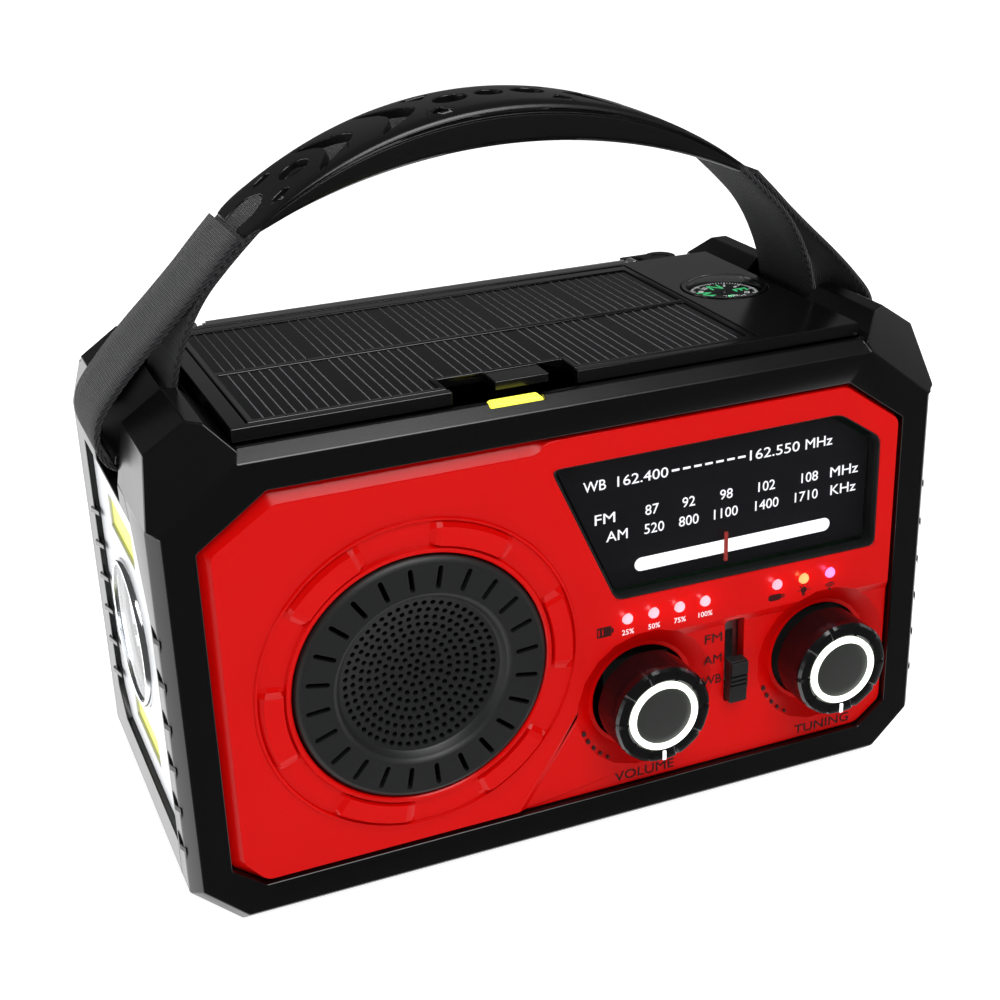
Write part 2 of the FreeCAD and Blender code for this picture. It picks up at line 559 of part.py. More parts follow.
def make_straps():
    loop = [(61.0, 144.2), (67.5, 135.7), (73.6, 128.0), (76.2, 121.9), (78.0, 116.4), (78.0, 100.8),
            (79.8, 99.0), (92.0, 99.0), (95.0, 101.5), (96.2, 106.5), (96.2, 108.6), (94.5, 113.1),
            (84.4, 124.2), (61.0, 145.7)]
    gap = [(70.6, 134.0), (75.6, 128.2), (78.0, 122.6), (79.6, 116.8), (79.6, 101.2), (80.2, 100.6),
           (91.6, 100.6), (93.6, 102.6), (94.6, 107.0), (94.4, 108.5), (93.0, 112.0), (83.4, 122.6)]
    right = prism("XZ", "-strap_half_width", "strap_half_width", loop, gap)
    node("strap_right", right)
    node("strap_left", mirror(right))


def make_grip():
    upper = rod("grip_top_radius", "grip_half_width * 2",
                (0, "-grip_half_width", "grip_top - grip_top_radius"), "y")
    lower = rod("grip_low_radius", "grip_half_width * 2 + 2",
                (0, "-grip_half_width - 1", "grip_low - grip_low_radius"), "y")
    span = block(("-grip_half_length", "-grip_half_width", 130), ("grip_half_length", "grip_half_width", 170))
    node("handle_grip", cut(common(upper, span), lower))


# ---- inside ----

def make_electronics():
    node("main_board", block((-2, -26.9, 16), (86, -25.3, 96)))
    cells = [rod("9.2", "58", (-29, y, "foot_height + 12.2"), "x") for y in (1.0, 19.6)]
    node("battery_pack", group(*cells))
    core = fuse(rod("4", "84", (-52, 18, 96), "x"), rod("6", "22", (-20, 18, 96), "x"))
    node("ferrite_antenna", core)


def toothed_disc(teeth, pitch_radius, backlash, start):
    """Outline of a spur gear: straight flanks from root to tip, two corners at each end of a tooth."""
    module = SIZES["tooth_module"]
    step = 2 * math.pi / teeth
    corners = []
    for tooth in range(teeth):
        middle = start + tooth * step
        for radius, share in ((pitch_radius - 1.15 * module, -0.36), (pitch_radius + 0.8 * module, -0.13),
                              (pitch_radius + 0.8 * module, 0.13), (pitch_radius - 1.15 * module, 0.36)):
            angle = middle + (share - math.copysign(backlash, share)) * step
            corners.append(V(radius * math.cos(angle), 0, radius * math.sin(angle)))
    return Part.makePolygon(corners + corners[:1])


GEAR_TEETH = 40
PINION_TEETH = 10


def gear(teeth, axis_point, start, extra):
    """Toothed disc with its hub, as a plain shape: a sketch of so many corners is slow to solve."""
    depth = SIZES["gear_back"] - SIZES["gear_front"]
    wire = toothed_disc(teeth, teeth * SIZES["tooth_module"] / 2, 0.04, start)
    disc = Part.Face(wire).extrude(V(0, depth, 0))
    disc.translate(V(0, SIZES["gear_front"], 0))
    for radius, low, high in extra:
        disc = disc.fuse(Part.makeCylinder(radius, high - low, V(0, low, 0), V(0, 1, 0)))
    item = doc.addObject("Part::Feature", "Gear")
    item.Shape = disc.removeSplitter()
    item.Placement = FreeCAD.Placement(axis_point, FreeCAD.Rotation())
    return item


def make_crank_drive():
    height = SIZES["crank_height"]
    spread = (GEAR_TEETH + PINION_TEETH) * SIZES["tooth_module"] / 2
    hub = SIZES["shaft_radius"]
    crank_shaft = [(hub, SIZES["gear_back"], SIZES["dish_floor"] + 1), (hub - 1, 20.0, SIZES["gear_front"])]
    rotor_shaft = [(2.0, 4.0, SIZES["gear_front"]), (9.0, 6.0, 20.0), (2.0, SIZES["gear_back"], 30.0)]
    node("crank_gear", gear(GEAR_TEETH, V(0, 0, height), 0.0, crank_shaft))
    node("dynamo_rotor", gear(PINION_TEETH, V(spread, 0, height), math.pi / PINION_TEETH, rotor_shaft))
    case = rod("12", "20", (spread, "3", height), "y")
    hollow = rod("9.6", "15", (spread, "5.6", height), "y")
    bore = rod("2.0 + running_fit", "40", (spread, "0", height), "y")
    arm_bearing = block(("-6", "20.1", "crank_height - 5"), (spread - 11, "23", "crank_height + 5"))
    shaft_bore = rod("shaft_radius - 1 + running_fit", "10", (0, "15", "crank_height"), "y")
    bracket = block((spread + 11, "18", "crank_height - 6"),
                    (spread + 15, "dish_floor - wall", "crank_height + 6"))
    node("dynamo_housing", cut(fuse(case, arm_bearing, bracket), hollow, bore, shaft_bore))


def make_crank():
    """Arm with an open fork, and a knob on a post that folds down into the fork."""
    arm = fuse(rod("9.5", "5", (0, "dish_floor + 1", "crank_height"), "y"),
               block((0, "dish_floor + 1", "crank_height - 8"),
                     ("crank_length + 5", "dish_floor + 7.4", "crank_height + 8")))
    gap = block(("crank_length - 15", "dish_floor", "crank_height - 5.4"),
                ("crank_length + 6", "half_depth", "crank_height + 5.4"))
    pin = rod("1.2", "14", ("crank_length", "fold_pin_back", "crank_height - 7"))
    node("crank_arm", fuse(cut(arm, gap), pin))
    barrel = rod("2.4", "10.4", ("crank_length", "fold_pin_back", "crank_height - 5.2"))
    post = rod("2", "knob_front - fold_pin_back - 0.6",
               ("crank_length", "fold_pin_back", "crank_height"), "y")
    eye = rod("1.2 + running_fit", "12", ("crank_length", "fold_pin_back", "crank_height - 6"))
    node("crank_knob_post", cut(fuse(barrel, post), eye))
    knob = turned([(0, "knob_front"), ("2 + running_fit", "knob_front - 0.5"), ("2 + running_fit", 43.4),
                   (4.0, 43.4), (4.8, 44.4), (4.3, 48.0), (4.8, "knob_front - 1.0"), (4.0, "knob_front")],
                  ("crank_length", 0, "crank_height"), "y")
    node("crank_knob", knob)


# ---- telescopic aerial along the rear edge of the deck ----

AERIAL_STAGES = (("antenna_tube_2", 1.6, 1.25, 49.0, -60.8), ("antenna_tube_3", 1.2, 0.85, 47.5, -61.6))


def make_aerial():
    y, z = "aerial_back", "aerial_height"
    plate = block(("aerial_knuckle + 3.6", "aerial_back - 3.1", "deck_top"),
                  ("aerial_across + 7.5", "half_depth - 3", "deck_top + 1.6"))
    node("antenna_mount", fuse(plate, rod("2.2", "3.9", ("aerial_across", y, "deck_top"))))
    collar = rod("4.1", "2.5", ("aerial_across", y, "deck_top + 1.7"))
    neck = block(("aerial_knuckle + 2.6", "aerial_back - 3.3", "deck_top + 1.7"),
                 ("aerial_across", "aerial_back + 3.3", "deck_top + 4.2"))
    cheeks = [block(("aerial_knuckle - 2.2", "aerial_back + %s" % low, "deck_top + 1.7"),
                    ("aerial_knuckle + 3.4", "aerial_back + %s" % high, "deck_top + 4.2"))
              for low, high in ((-3.3, -2.1), (2.1, 3.3))]
    pin = rod("0.9", "6.6", ("aerial_knuckle", "aerial_back - 3.3", z), "y")
    socket = rod("2.2 + running_fit", "5", ("aerial_across", y, "deck_top"))
    node("antenna_base", cut(fuse(collar, neck, *cheeks, pin), socket))
    lug = block(("aerial_knuckle - 3", "aerial_back - 1.9", "aerial_height - 1.4"),
                ("aerial_knuckle", "aerial_back + 1.9", "aerial_height + 1.4"))
    eye = rod("1.9", "3.8", ("aerial_knuckle", "aerial_back - 1.9", z), "y")
    outer = rod("aerial_radius", "111.4", ("aerial_knuckle - 2.6", y, z), "-x")
    bore = rod("1.65", "114", (50.0, y, z), "-x")
    pivot = rod("0.9 + running_fit", "6", ("aerial_knuckle", "aerial_back - 3", z), "y")
    node("antenna_tube_1", cut(fuse(lug, eye, outer), bore, pivot))
    for name, radius, hollow, inner_end, outer_end in AERIAL_STAGES:
        tube = rod(radius, inner_end - outer_end, (inner_end, y, z), "-x")
        node(name, cut(tube, rod(hollow, 120, (inner_end - 1.5, y, z), "-x")))
    whip = rod("0.8", "109", (46.0, y, z), "-x")
    button = turned([(0, -62.1), (2.0, -62.1), (2.1, -62.6), (2.1, -63.8), (1.5, -64.7), (0, "-aerial_tip")],
                    (0, y, z), "x")
    node("antenna_tip", fuse(whip, button))


def make_all():
    make_front_frame()
    make_rear_housing()
    make_fasteners()
    make_top_plate()
    make_solar_module()
    make_compass()
    make_reading_lamp()
    make_front_panel()
    make_display()
    make_speaker()
    for side, housing in KNOBS:
        make_knob(side, housing)
    make_band_switch()
    make_left_side()
    make_right_side()
    make_straps()
    make_grip()
    make_electronics()
    make_crank_drive()
    make_crank()
    make_aerial()


make_all()
doc.recompute()

failed = [item.Name for item in doc.Objects if "Invalid" in item.State or "Error" in item.State]
assert not failed, failed
for item in nodes:
    assert not item.Shape.isNull() and item.Shape.isValid(), item.Label
for item in nodes:
    item.Shape.exportStep("parts/%s.step" % item.Label)
print(len(nodes), "sub-parts written")
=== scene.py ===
import json
import math

import bmesh
import bpy
from mathutils import Matrix, Vector


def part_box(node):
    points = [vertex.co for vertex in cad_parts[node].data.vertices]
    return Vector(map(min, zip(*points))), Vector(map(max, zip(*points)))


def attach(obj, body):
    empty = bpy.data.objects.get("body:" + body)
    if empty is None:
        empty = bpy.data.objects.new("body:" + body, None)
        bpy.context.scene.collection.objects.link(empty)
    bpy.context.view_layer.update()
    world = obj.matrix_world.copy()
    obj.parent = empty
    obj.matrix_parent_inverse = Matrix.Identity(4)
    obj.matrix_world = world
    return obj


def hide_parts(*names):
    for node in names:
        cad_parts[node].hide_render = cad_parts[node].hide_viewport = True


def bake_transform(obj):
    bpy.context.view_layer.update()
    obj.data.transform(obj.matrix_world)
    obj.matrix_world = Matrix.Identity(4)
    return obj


# The looks of the emergency radio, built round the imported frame. Lengths are millimetres in the part's frame,
# and each finished mesh is scaled to metres. "u" and "v" lie in a face, and "w" is its height outwards.

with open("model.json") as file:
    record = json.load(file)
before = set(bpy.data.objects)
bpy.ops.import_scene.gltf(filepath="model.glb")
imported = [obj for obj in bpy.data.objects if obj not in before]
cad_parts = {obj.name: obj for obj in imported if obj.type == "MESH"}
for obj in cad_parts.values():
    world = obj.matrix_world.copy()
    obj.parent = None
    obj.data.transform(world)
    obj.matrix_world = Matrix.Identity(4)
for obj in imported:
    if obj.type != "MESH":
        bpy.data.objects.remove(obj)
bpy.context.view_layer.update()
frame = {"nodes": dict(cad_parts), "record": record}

MM = 0.001
scene = bpy.context.scene


# ---- places ----

def front(u, v, w):
    return Vector((u, -w, v))


def rear(u, v, w):
    return Vector((u, w, v))


def left(u, v, w):
    return Vector((-w, u, v))


def right(u, v, w):
    return Vector((w, u, v))


def top(u, v, w):
    return Vector((u, v, w))


def low(node):
    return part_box(node)[0] / MM


def high(node):
    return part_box(node)[1] / MM


def centre(node):
    return (low(node) + high(node)) / 2


# ---- materials ----

class Nodes:
    """Adds nodes to a node tree and links them."""

    def __init__(self, tree):
        self.tree = tree

    def node(self, kind, inputs=None, **settings):
        made = self.tree.nodes.new("ShaderNode" + kind)
        for setting, value in settings.items():
            setattr(made, setting, value)
        for socket, source in (inputs or {}).items():
            self.feed(made.inputs[socket], source)
        return made

    def feed(self, socket, source):
        if isinstance(source, bpy.types.NodeSocket):
            self.tree.links.new(source, socket)
        else:
            socket.default_value = source

    def math(self, operation, first, second=0.0):
        return self.node("Math", {0: first, 1: second}, operation=operation).outputs[0]

    def between(self, value, lowest, highest, start=0.3, end=0.7, **settings):
        """The value's range from start to end, spread from lowest to highest."""
        spread = {"Value": value, "From Min": start, "From Max": end, "To Min": lowest, "To Max": highest}
        return self.node("MapRange", spread, **settings).outputs[0]


class Surface(Nodes):
    """A Principled material whose textures lie in the part's own coordinates, in millimetres."""

    def __init__(self, name, colour, roughness, sockets=None):
        self.material = bpy.data.materials.new(name)
        self.material.use_nodes = True
        super().__init__(self.material.node_tree)
        self.shader = self.tree.nodes["Principled BSDF"]
        constants = {"Base Color": (*colour, 1), "Roughness": roughness, **(sockets or {})}
        for socket, value in constants.items():
            self.shader.inputs[socket].default_value = value
        coordinates = self.node("TexCoord").outputs["Object"]
        self.place = self.node("VectorMath", {0: coordinates, "Scale": 1 / MM}, operation="SCALE").outputs[0]

    def shade(self, socket, source):
        self.feed(self.shader.inputs[socket], source)
        return self

    def noise(self, size, detail=2.0):
        """Noise from 0 to 1 whose spots are about size millimetres across."""
        return self.node("TexNoise", {"Vector": self.place, "Scale": 1 / size, "Detail": detail}).outputs["Fac"]

    def mixed(self, factor, first, second):
        mix = self.node("Mix", {"Factor": factor}, data_type="RGBA")
        for socket, colour in zip([s for s in mix.inputs if s.type == "RGBA"], (first, second)):
            self.feed(socket, colour if isinstance(colour, bpy.types.NodeSocket) else (*colour, 1))
        return next(s for s in mix.outputs if s.type == "RGBA")

    def mottle(self, first, second, size):
        return self.shade("Base Color", self.mixed(self.noise(size, 1.0), first, second))

    def smudge(self, lowest, highest, size):
        return self.shade("Roughness", self.between(self.noise(size, 1.0), lowest, highest, 0.1, 0.9))

    def raise_by(self, height, depth):
        bump = self.node("Bump", {"Height": height, "Distance": depth * MM})
        return self.shade("Normal", bump.outputs["Normal"])


def dimmed(colour, share):
    return [share * part for part in colour]


def plastic(name, colour, roughness, grain_size, grain_depth, sockets=None):
    """Moulded plastic: a fine grain, and a slight drift of colour and gloss over its surface."""
    surface = Surface(name, colour, roughness, sockets)
    surface.mottle(dimmed(colour, 0.96), dimmed(colour, 1.04), 22.0)
    surface.smudge(roughness * 0.94, roughness * 1.07, 16.0)
    return surface.raise_by(surface.noise(grain_size, 3.0), grain_depth).material


def glowing(name, colour, strength, roughness=0.35):
    """A lit diffuser, a little uneven like moulded opal plastic. Some print is made with it too, and there its
    glow is a painted highlight.
    """
    surface = Surface(name, colour, roughness, {"Emission Strength": strength, "Specular IOR Level": 0.3})
    surface.mottle(dimmed(colour, 0.25), dimmed(colour, 0.30), 1.5)
    uneven = surface.mixed(surface.noise(2.0), dimmed(colour, 0.94), colour)
    return surface.shade("Emission Color", uneven).material


def metal(name, colour, roughness, stretch=(1, 1, 1)):
    """Metal with fine drawn lines along one axis."""
    surface = Surface(name, colour, roughness, {"Metallic": 1.0})
    drawn = surface.node("VectorMath", {0: surface.place, 1: stretch}, operation="MULTIPLY").outputs[0]
    lines = surface.node("TexNoise", {"Vector": drawn, "Scale": 3.0, "Detail": 3.0}).outputs["Fac"]
    surface.shade("Roughness", surface.between(lines, roughness * 0.8, roughness * 1.25))
    return surface.raise_by(lines, 0.004).material


def clear(name, tint, shine=1.0):
    """Thin clear plastic: light passes straight through it, with a reflection over its outer side."""
    surface = Surface(name, tint, 0.04)
    through = surface.node("BsdfTransparent", {"Color": (*tint, 1)}).outputs[0]
    ripple = surface.node("Bump", {"Height": surface.noise(6.0), "Distance": 0.004 * MM}).outputs["Normal"]
    gloss = {"Roughness": 0.05, "Color": (shine, shine, shine, 1), "Normal": ripple}
    reflected = surface.node("BsdfGlossy", gloss).outputs[0]
    edge = surface.node("Fresnel", {"IOR": 1.45}).outputs[0]
    outside = surface.math("SUBTRACT", 1.0, surface.node("NewGeometry").outputs["Backfacing"])
    both = surface.node("MixShader", {0: surface.math("MULTIPLY", edge, outside), 1: through, 2: reflected})
    surface.feed(surface.tree.nodes["Material Output"].inputs["Surface"], both.outputs[0])
    return surface.material


def woven(name, dark, light):
    """Twill webbing, drawn in the piece's own UV map: u runs along the strap and v across it, in millimetres."""
    sheen = {"Sheen Weight": 0.15, "Sheen Roughness": 0.4, "Specular IOR Level": 0.25}
    surface = Surface(name, light, 0.8, sheen)
    along, across = surface.node("SeparateXYZ", {0: surface.node("UVMap").outputs[0]}).outputs[:2]
    twill_across, twill_along, yarn_pitch = 0.95, 1.9, 0.62
    slant = surface.math("ADD", surface.math("MULTIPLY", across, math.tau / twill_across),
                         surface.math("MULTIPLY", along, math.tau / twill_along))
    yarn = surface.math("SINE", surface.math("MULTIPLY", along, math.tau / yarn_pitch))
    twill = surface.math("ADD", surface.math("SINE", slant), surface.math("MULTIPLY", yarn, 0.45))
    fuzz = surface.math("MULTIPLY", surface.noise(0.25, 4.0), 0.8)
    height = surface.between(surface.math("ADD", twill, fuzz), 0.0, 1.0, -1.2, 1.8)
    # The colour follows the weave's relief and a little fuzz: lighter on the raised yarns and darker in the
    # hollows, painted highlight and shade over near-black yarn.
    return surface.shade("Base Color", surface.mixed(height, dark, light)).raise_by(height, 0.28).material


def photovoltaic(name, start, cell, pitch, fingers):
    """Dark cells in a row along X, each crossed by thin silver fingers, with a darker gap between cells."""
    surface = Surface(name, (0.006, 0.007, 0.009), 0.22, {"Specular IOR Level": 0.12})
    finger_half = 0.14
    inset = (cell - pitch * (fingers - 1)) / 2
    x = surface.node("SeparateXYZ", {0: surface.place}).outputs[0]
    within = surface.math("FLOORED_MODULO", surface.math("SUBTRACT", x, start), cell)
    beat = surface.math("FLOORED_MODULO", surface.math("SUBTRACT", within, inset - pitch / 2), pitch)
    near = surface.math("ABSOLUTE", surface.math("SUBTRACT", beat, pitch / 2))
    off_centre = surface.math("ABSOLUTE", surface.math("SUBTRACT", within, cell / 2))
    inside = surface.math("LESS_THAN", off_centre, cell / 2 - inset / 2)
    finger = surface.math("MULTIPLY", surface.math("LESS_THAN", near, finger_half), inside)
    glint = surface.mixed(surface.noise(0.8, 4.0), (0.09, 0.09, 0.10), (0.22, 0.22, 0.23))
    base = surface.mixed(surface.noise(5.0, 1.0), (0.0015, 0.0018, 0.0025), (0.003, 0.0033, 0.0042))
    return surface.shade("Base Color", surface.mixed(finger, base, glint)).raise_by(finger, 0.02).material


BLACK = (0.0016, 0.0016, 0.0018)
RED = (0.51, 0.0012, 0.0007)
shell_black = plastic("shell_black", BLACK, 0.24, 0.35, 0.004)
gloss_black = plastic("gloss_black", (0.003, 0.003, 0.0035), 0.17, 0.8, 0.003)
matt_black = plastic("matt_black", (0.0075, 0.0082, 0.0082), 0.5, 0.30, 0.012)
dial_black = plastic("dial_black", (0.004, 0.004, 0.005), 0.4, 0.6, 0.004)
grip_black = plastic("grip_black", (0.003, 0.003, 0.0033), 0.33, 0.45, 0.012)
black_cloth = plastic("black_cloth", (0.003, 0.003, 0.003), 0.9, 0.3, 0.02)
cap_grey = plastic("cap_grey", (0.022, 0.024, 0.022), 0.42, 0.30, 0.005)
gloss_red = plastic("gloss_red", RED, 0.22, 0.9, 0.002, {"Specular IOR Level": 0.16})
dark_print = plastic("dark_print", (0.035, 0.0008, 0.0008), 0.45, 0.4, 0.003)
black_print = plastic("black_print", (0.012, 0.006, 0.006), 0.5, 0.4, 0.003)
silver = plastic("silver", (0.70, 0.71, 0.73), 0.34, 0.30, 0.006, {"Metallic": 0.15})
soft_rubber = plastic("soft_rubber", (0.014, 0.014, 0.014), 0.78, 0.45, 0.02)
white_nylon = plastic("white_nylon", (0.75, 0.74, 0.70), 0.4, 0.6, 0.006)
board_green = plastic("board_green", (0.012, 0.11, 0.035), 0.35, 1.2, 0.01)
sleeve_blue = plastic("sleeve_blue", (0.03, 0.09, 0.32), 0.3, 1.5, 0.006)
ferrite_grey = plastic("ferrite_grey", (0.05, 0.048, 0.045), 0.6, 0.5, 0.02)
chrome = metal("chrome", (0.86, 0.87, 0.89), 0.09, (0.2, 6, 6))
steel = metal("steel", (0.56, 0.56, 0.57), 0.30, (6, 0.2, 6))
mirror_metal = metal("mirror_metal", (0.9, 0.9, 0.92), 0.12)
webbing = woven("webbing", (0.0015, 0.0015, 0.002), (0.030, 0.030, 0.033))
clear_plastic = clear("clear_plastic", (0.96, 0.97, 0.98))
dark_clear = clear("dark_clear", (0.90, 0.90, 0.92), 0.8)
lit_white = glowing("lit_white", (1.0, 1.0, 0.97), 1.5)
lit_ring = glowing("lit_ring", (0.93, 1.0, 0.88), 2.2)
lit_print = glowing("lit_print", (1.0, 1.0, 1.0), 1.25)
lit_yellow = glowing("lit_yellow", (1.0, 0.96, 0.10), 1.5)
slot_yellow = glowing("slot_yellow", (0.80, 0.83, 0.12), 0.75)
lit_needle = glowing("lit_needle", (0.55, 0.05, 0.04), 0.5)
# Print that glows though no lamp lights it: a painted highlight on the compass card, the button marks and the
# charge labels.
painted_glow_green = glowing("painted_glow_green", (0.10, 0.85, 0.30), 0.60)
painted_glow_white = glowing("painted_glow_white", (0.85, 0.85, 0.85), 0.55)
painted_glow_pink = glowing("painted_glow_pink", (1.0, 0.78, 0.82), 0.95)
LED_STRENGTH = 1.05
led_pink = glowing("led_pink", (1.0, 0.48, 0.56), LED_STRENGTH)
STATUS_COLOURS = {"charge": (1.0, 0.42, 0.52), "lamp": (1.0, 0.46, 0.16), "wireless": (0.92, 0.30, 0.86)}


# ---- mesh building, in millimetres ----

def mesh_from(bm, name="working"):
    """A mesh made from a bmesh, which is freed."""
    mesh = bpy.data.meshes.new(name)
    bm.to_mesh(mesh)
    bm.free()
    return mesh


def absorb(bm, mesh):
    """A bmesh with a mesh added to it, which is deleted."""
    bm.from_mesh(mesh)
    bpy.data.meshes.remove(mesh)
    return bm


def linked(name, data):
    item = bpy.data.objects.new(name, data)
    scene.collection.objects.link(item)
    return item


def evaluated(item):
    """An object's mesh, with its modifiers, as a bmesh."""
    bpy.context.view_layer.update()
    shown = item.evaluated_get(bpy.context.evaluated_depsgraph_get())
    return absorb(bmesh.new(), bpy.data.meshes.new_from_object(shown))


def joined(*parts):
    """One bmesh that holds several."""
    whole = bmesh.new()
    for part in parts:
        absorb(whole, mesh_from(part))
    return whole


def finished(bm):
    bmesh.ops.recalc_face_normals(bm, faces=bm.faces)
    return bm


def thickened(bm, offset):
    """A flat bmesh made solid, from where it lies to the offset from there."""
    made = bmesh.ops.extrude_face_region(bm, geom=bm.faces[:])["geom"]
    moved = [item for item in made if isinstance(item, bmesh.types.BMVert)]
    bmesh.ops.translate(bm, verts=moved, vec=offset)
    return finished(bm)


def plate(place, back, face, outline, holes=()):
    """A flat plate from w = back to w = face, with holes through it. Outline and holes are lists of (u, v)."""
    bm = bmesh.new()
    edges = []
    for loop in (outline, *holes):
        ring = [bm.verts.new(place(u, v, face)) for u, v in loop]
        edges += [bm.edges.new((ring[i - 1], ring[i])) for i in range(len(ring))]
    bmesh.ops.triangle_fill(bm, use_beauty=True, edges=edges)
    return thickened(bm, place(0, 0, back) - place(0, 0, face))


def loft(rings):
    """Skin over rings with equal numbers of points, closed at both ends."""
    bm = bmesh.new()
    loops = [[bm.verts.new(point) for point in ring] for ring in rings]
    for lower, upper in zip(loops, loops[1:]):
        for i in range(len(lower)):
            bm.faces.new((lower[i - 1], lower[i], upper[i], upper[i - 1]))
    bm.faces.new(loops[0])
    bm.faces.new(loops[-1])
    return finished(bm)


def tower(place, *layers):
    """A loft through outlines at different heights: each layer is (w, outline)."""
    return loft([[place(u, v, w) for u, v in outline] for w, outline in layers])


def around(across, up, radius, angle):
    """The point (u, v) at a radius and an angle from (across, up)."""
    return across + radius * math.cos(angle), up + radius * math.sin(angle)


def lathe(place, across, up, profile, steps=72, shape=None):
    """A turned piece round an axis along w. profile is (radius, w), and shape may change both at an angle."""
    bm = bmesh.new()
    columns = []
    for i in range(steps):
        angle = math.tau * i / steps
        points = [shape(angle, r, w) if shape else (r, w) for r, w in profile]
        columns.append([bm.verts.new(place(*around(across, up, r, angle), w)) for r, w in points])
    for i in range(steps):
        for j in range(len(profile) - 1):
            bm.faces.new((columns[i - 1][j], columns[i][j], columns[i][j + 1], columns[i - 1][j + 1]))
    bmesh.ops.remove_doubles(bm, verts=bm.verts, dist=1e-4)
    return finished(bm)


def circle(across, up, radius, steps=32, begin=0.0, sweep=math.tau):
    whole = steps if sweep >= math.tau else steps - 1
    return [around(across, up, radius, begin + sweep * i / whole) for i in range(steps)]


def arc_band(across, up, radius, half, begin, sweep):
    """A curved bar along part of a circle, with its angles in degrees."""
    outer, inner = [circle(across, up, radius + side, 12, math.radians(begin), math.radians(sweep))
                    for side in (half, -half)]
    return outer + inner[::-1]


def slot_outline(a, b, width, steps=8):
    """A round-ended slot from a to b."""
    heading = math.atan2(b[1] - a[1], b[0] - a[0])
    ends = ((b, heading - math.pi / 2), (a, heading + math.pi / 2))
    return [point for end, begin in ends for point in circle(*end, width / 2, steps, begin, math.pi)]


def spoke(across, up, near, far, angle, width, steps=8):
    """A round-ended slot that points away from (across, up)."""
    return slot_outline(around(across, up, near, angle), around(across, up, far, angle), width, steps)


def rounded(points, radius, steps=5):
    """The same outline with each corner rounded off by an arc-like curve."""
    result = []
    for i, corner in enumerate(points):
        here, before, after = Vector(corner), Vector(points[i - 1]), Vector(points[(i + 1) % len(points)])
        reach = min(radius, (before - here).length / 2.2, (after - here).length / 2.2)
        start = here + (before - here).normalized() * reach
        end = here + (after - here).normalized() * reach
        for k in range(steps + 1):
            t = k / steps
            result.append(tuple((1 - t) ** 2 * start + 2 * t * (1 - t) * here + t * t * end))
    return result


def box_outline(u0, u1, v0, v1):
    return [(u0, v0), (u1, v0), (u1, v1), (u0, v1)]


def boolean(base, tools):
    """base with each tool cut out of it."""
    item, *others = [linked("working", mesh_from(bm)) for bm in (base, *tools)]
    for other in others:
        step = item.modifiers.new("boolean", "BOOLEAN")
        step.operation, step.solver, step.object = "DIFFERENCE", "EXACT", other
    result = evaluated(item)
    for used in (item, *others):
        mesh = used.data
        bpy.data.objects.remove(used)
        bpy.data.meshes.remove(mesh)
    bmesh.ops.remove_doubles(result, verts=result.verts, dist=2e-3)
    bmesh.ops.dissolve_degenerate(result, edges=result.edges, dist=1e-3)
    return result


RELIEF = 0.08


def lettering(words, place, u, v, depth, height, width=None, centred=False):
    """A line of text in relief: its lower left corner (or its middle, if centred) is at (u, v)."""
    curve = bpy.data.curves.new("lettering", "FONT")
    curve.body, curve.resolution_u = words, 3
    item = linked("lettering", curve)
    bm = evaluated(item)
    bpy.data.objects.remove(item)
    bpy.data.curves.remove(curve)
    xs, ys = [p.co.x for p in bm.verts], [p.co.y for p in bm.verts]
    tall = height / (max(ys) - min(ys))
    wide = width / (max(xs) - min(xs)) if width else tall
    if centred:
        u, v = u - wide * (max(xs) - min(xs)) / 2, v - height / 2
    start, foot = min(xs), min(ys)
    for point in bm.verts:
        point.co = place(u + (point.co.x - start) * wide, v + (point.co.y - foot) * tall, depth)
    return thickened(bm, place(0, 0, RELIEF) - place(0, 0, 0))


# ---- finished pieces ----

def soften(item, width):
    """A small rounded edge wherever two faces meet sharply."""
    bevel = item.modifiers.new("edges", "BEVEL")
    bevel.width, bevel.segments, bevel.limit_method = width * MM, 2, "ANGLE"
    bevel.angle_limit = math.radians(28)
    bevel.harden_normals = True
    bevel.use_clamp_overlap = False
    bevel.miter_outer = "MITER_ARC"


def piece(name, bm, material, body, replaced=(), bevel=0.0, smooth=30):
    """A finished piece from a bmesh in millimetres: it rides on a body and may stand for CAD nodes."""
    bmesh.ops.transform(bm, matrix=Matrix.Scale(MM, 4), verts=bm.verts)
    mesh = mesh_from(bm, name)
    mesh.shade_smooth()
    mesh.set_sharp_from_angle(angle=math.radians(smooth))
    mesh.materials.append(material)
    item = linked(name, mesh)
    if bevel:
        soften(item, bevel)
    if body:
        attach(item, body)
    if replaced:
        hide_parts(*replaced)
    return item


BODY_OF = {node: body for body, members in frame["record"]["behaviour"]["bodies"].items() for node in members}


def fitting(name, bm, material, node, bevel=0.0, smooth=30, replaced=True):
    """A piece that rides with a CAD node and may stand for it."""
    return piece(name, bm, material, BODY_OF[node], [node] if replaced else (), bevel, smooth)


def cad_mesh(node):
    """A copy of a CAD node's mesh in millimetres, with its flat faces whole again."""
    bm = bmesh.new()
    bm.from_mesh(frame["nodes"][node].data)
    bmesh.ops.transform(bm, matrix=Matrix.Scale(1 / MM, 4), verts=bm.verts)
    bmesh.ops.remove_doubles(bm, verts=bm.verts, dist=1e-3)
    bmesh.ops.dissolve_limit(bm, angle_limit=math.radians(0.6), verts=bm.verts, edges=bm.edges)
    return bm


def refined(node, material, bevel, smooth=30):
    """A CAD node shown with softened edges."""
    return fitting(node + "_finish", cad_mesh(node), material, node, bevel, smooth)


def paint(node, material):
    """A CAD node kept as it is, with a finish of its own."""
    mesh = frame["nodes"][node].data
    mesh.materials.clear()
    mesh.materials.append(material)


# ---- camera, light and stage ----

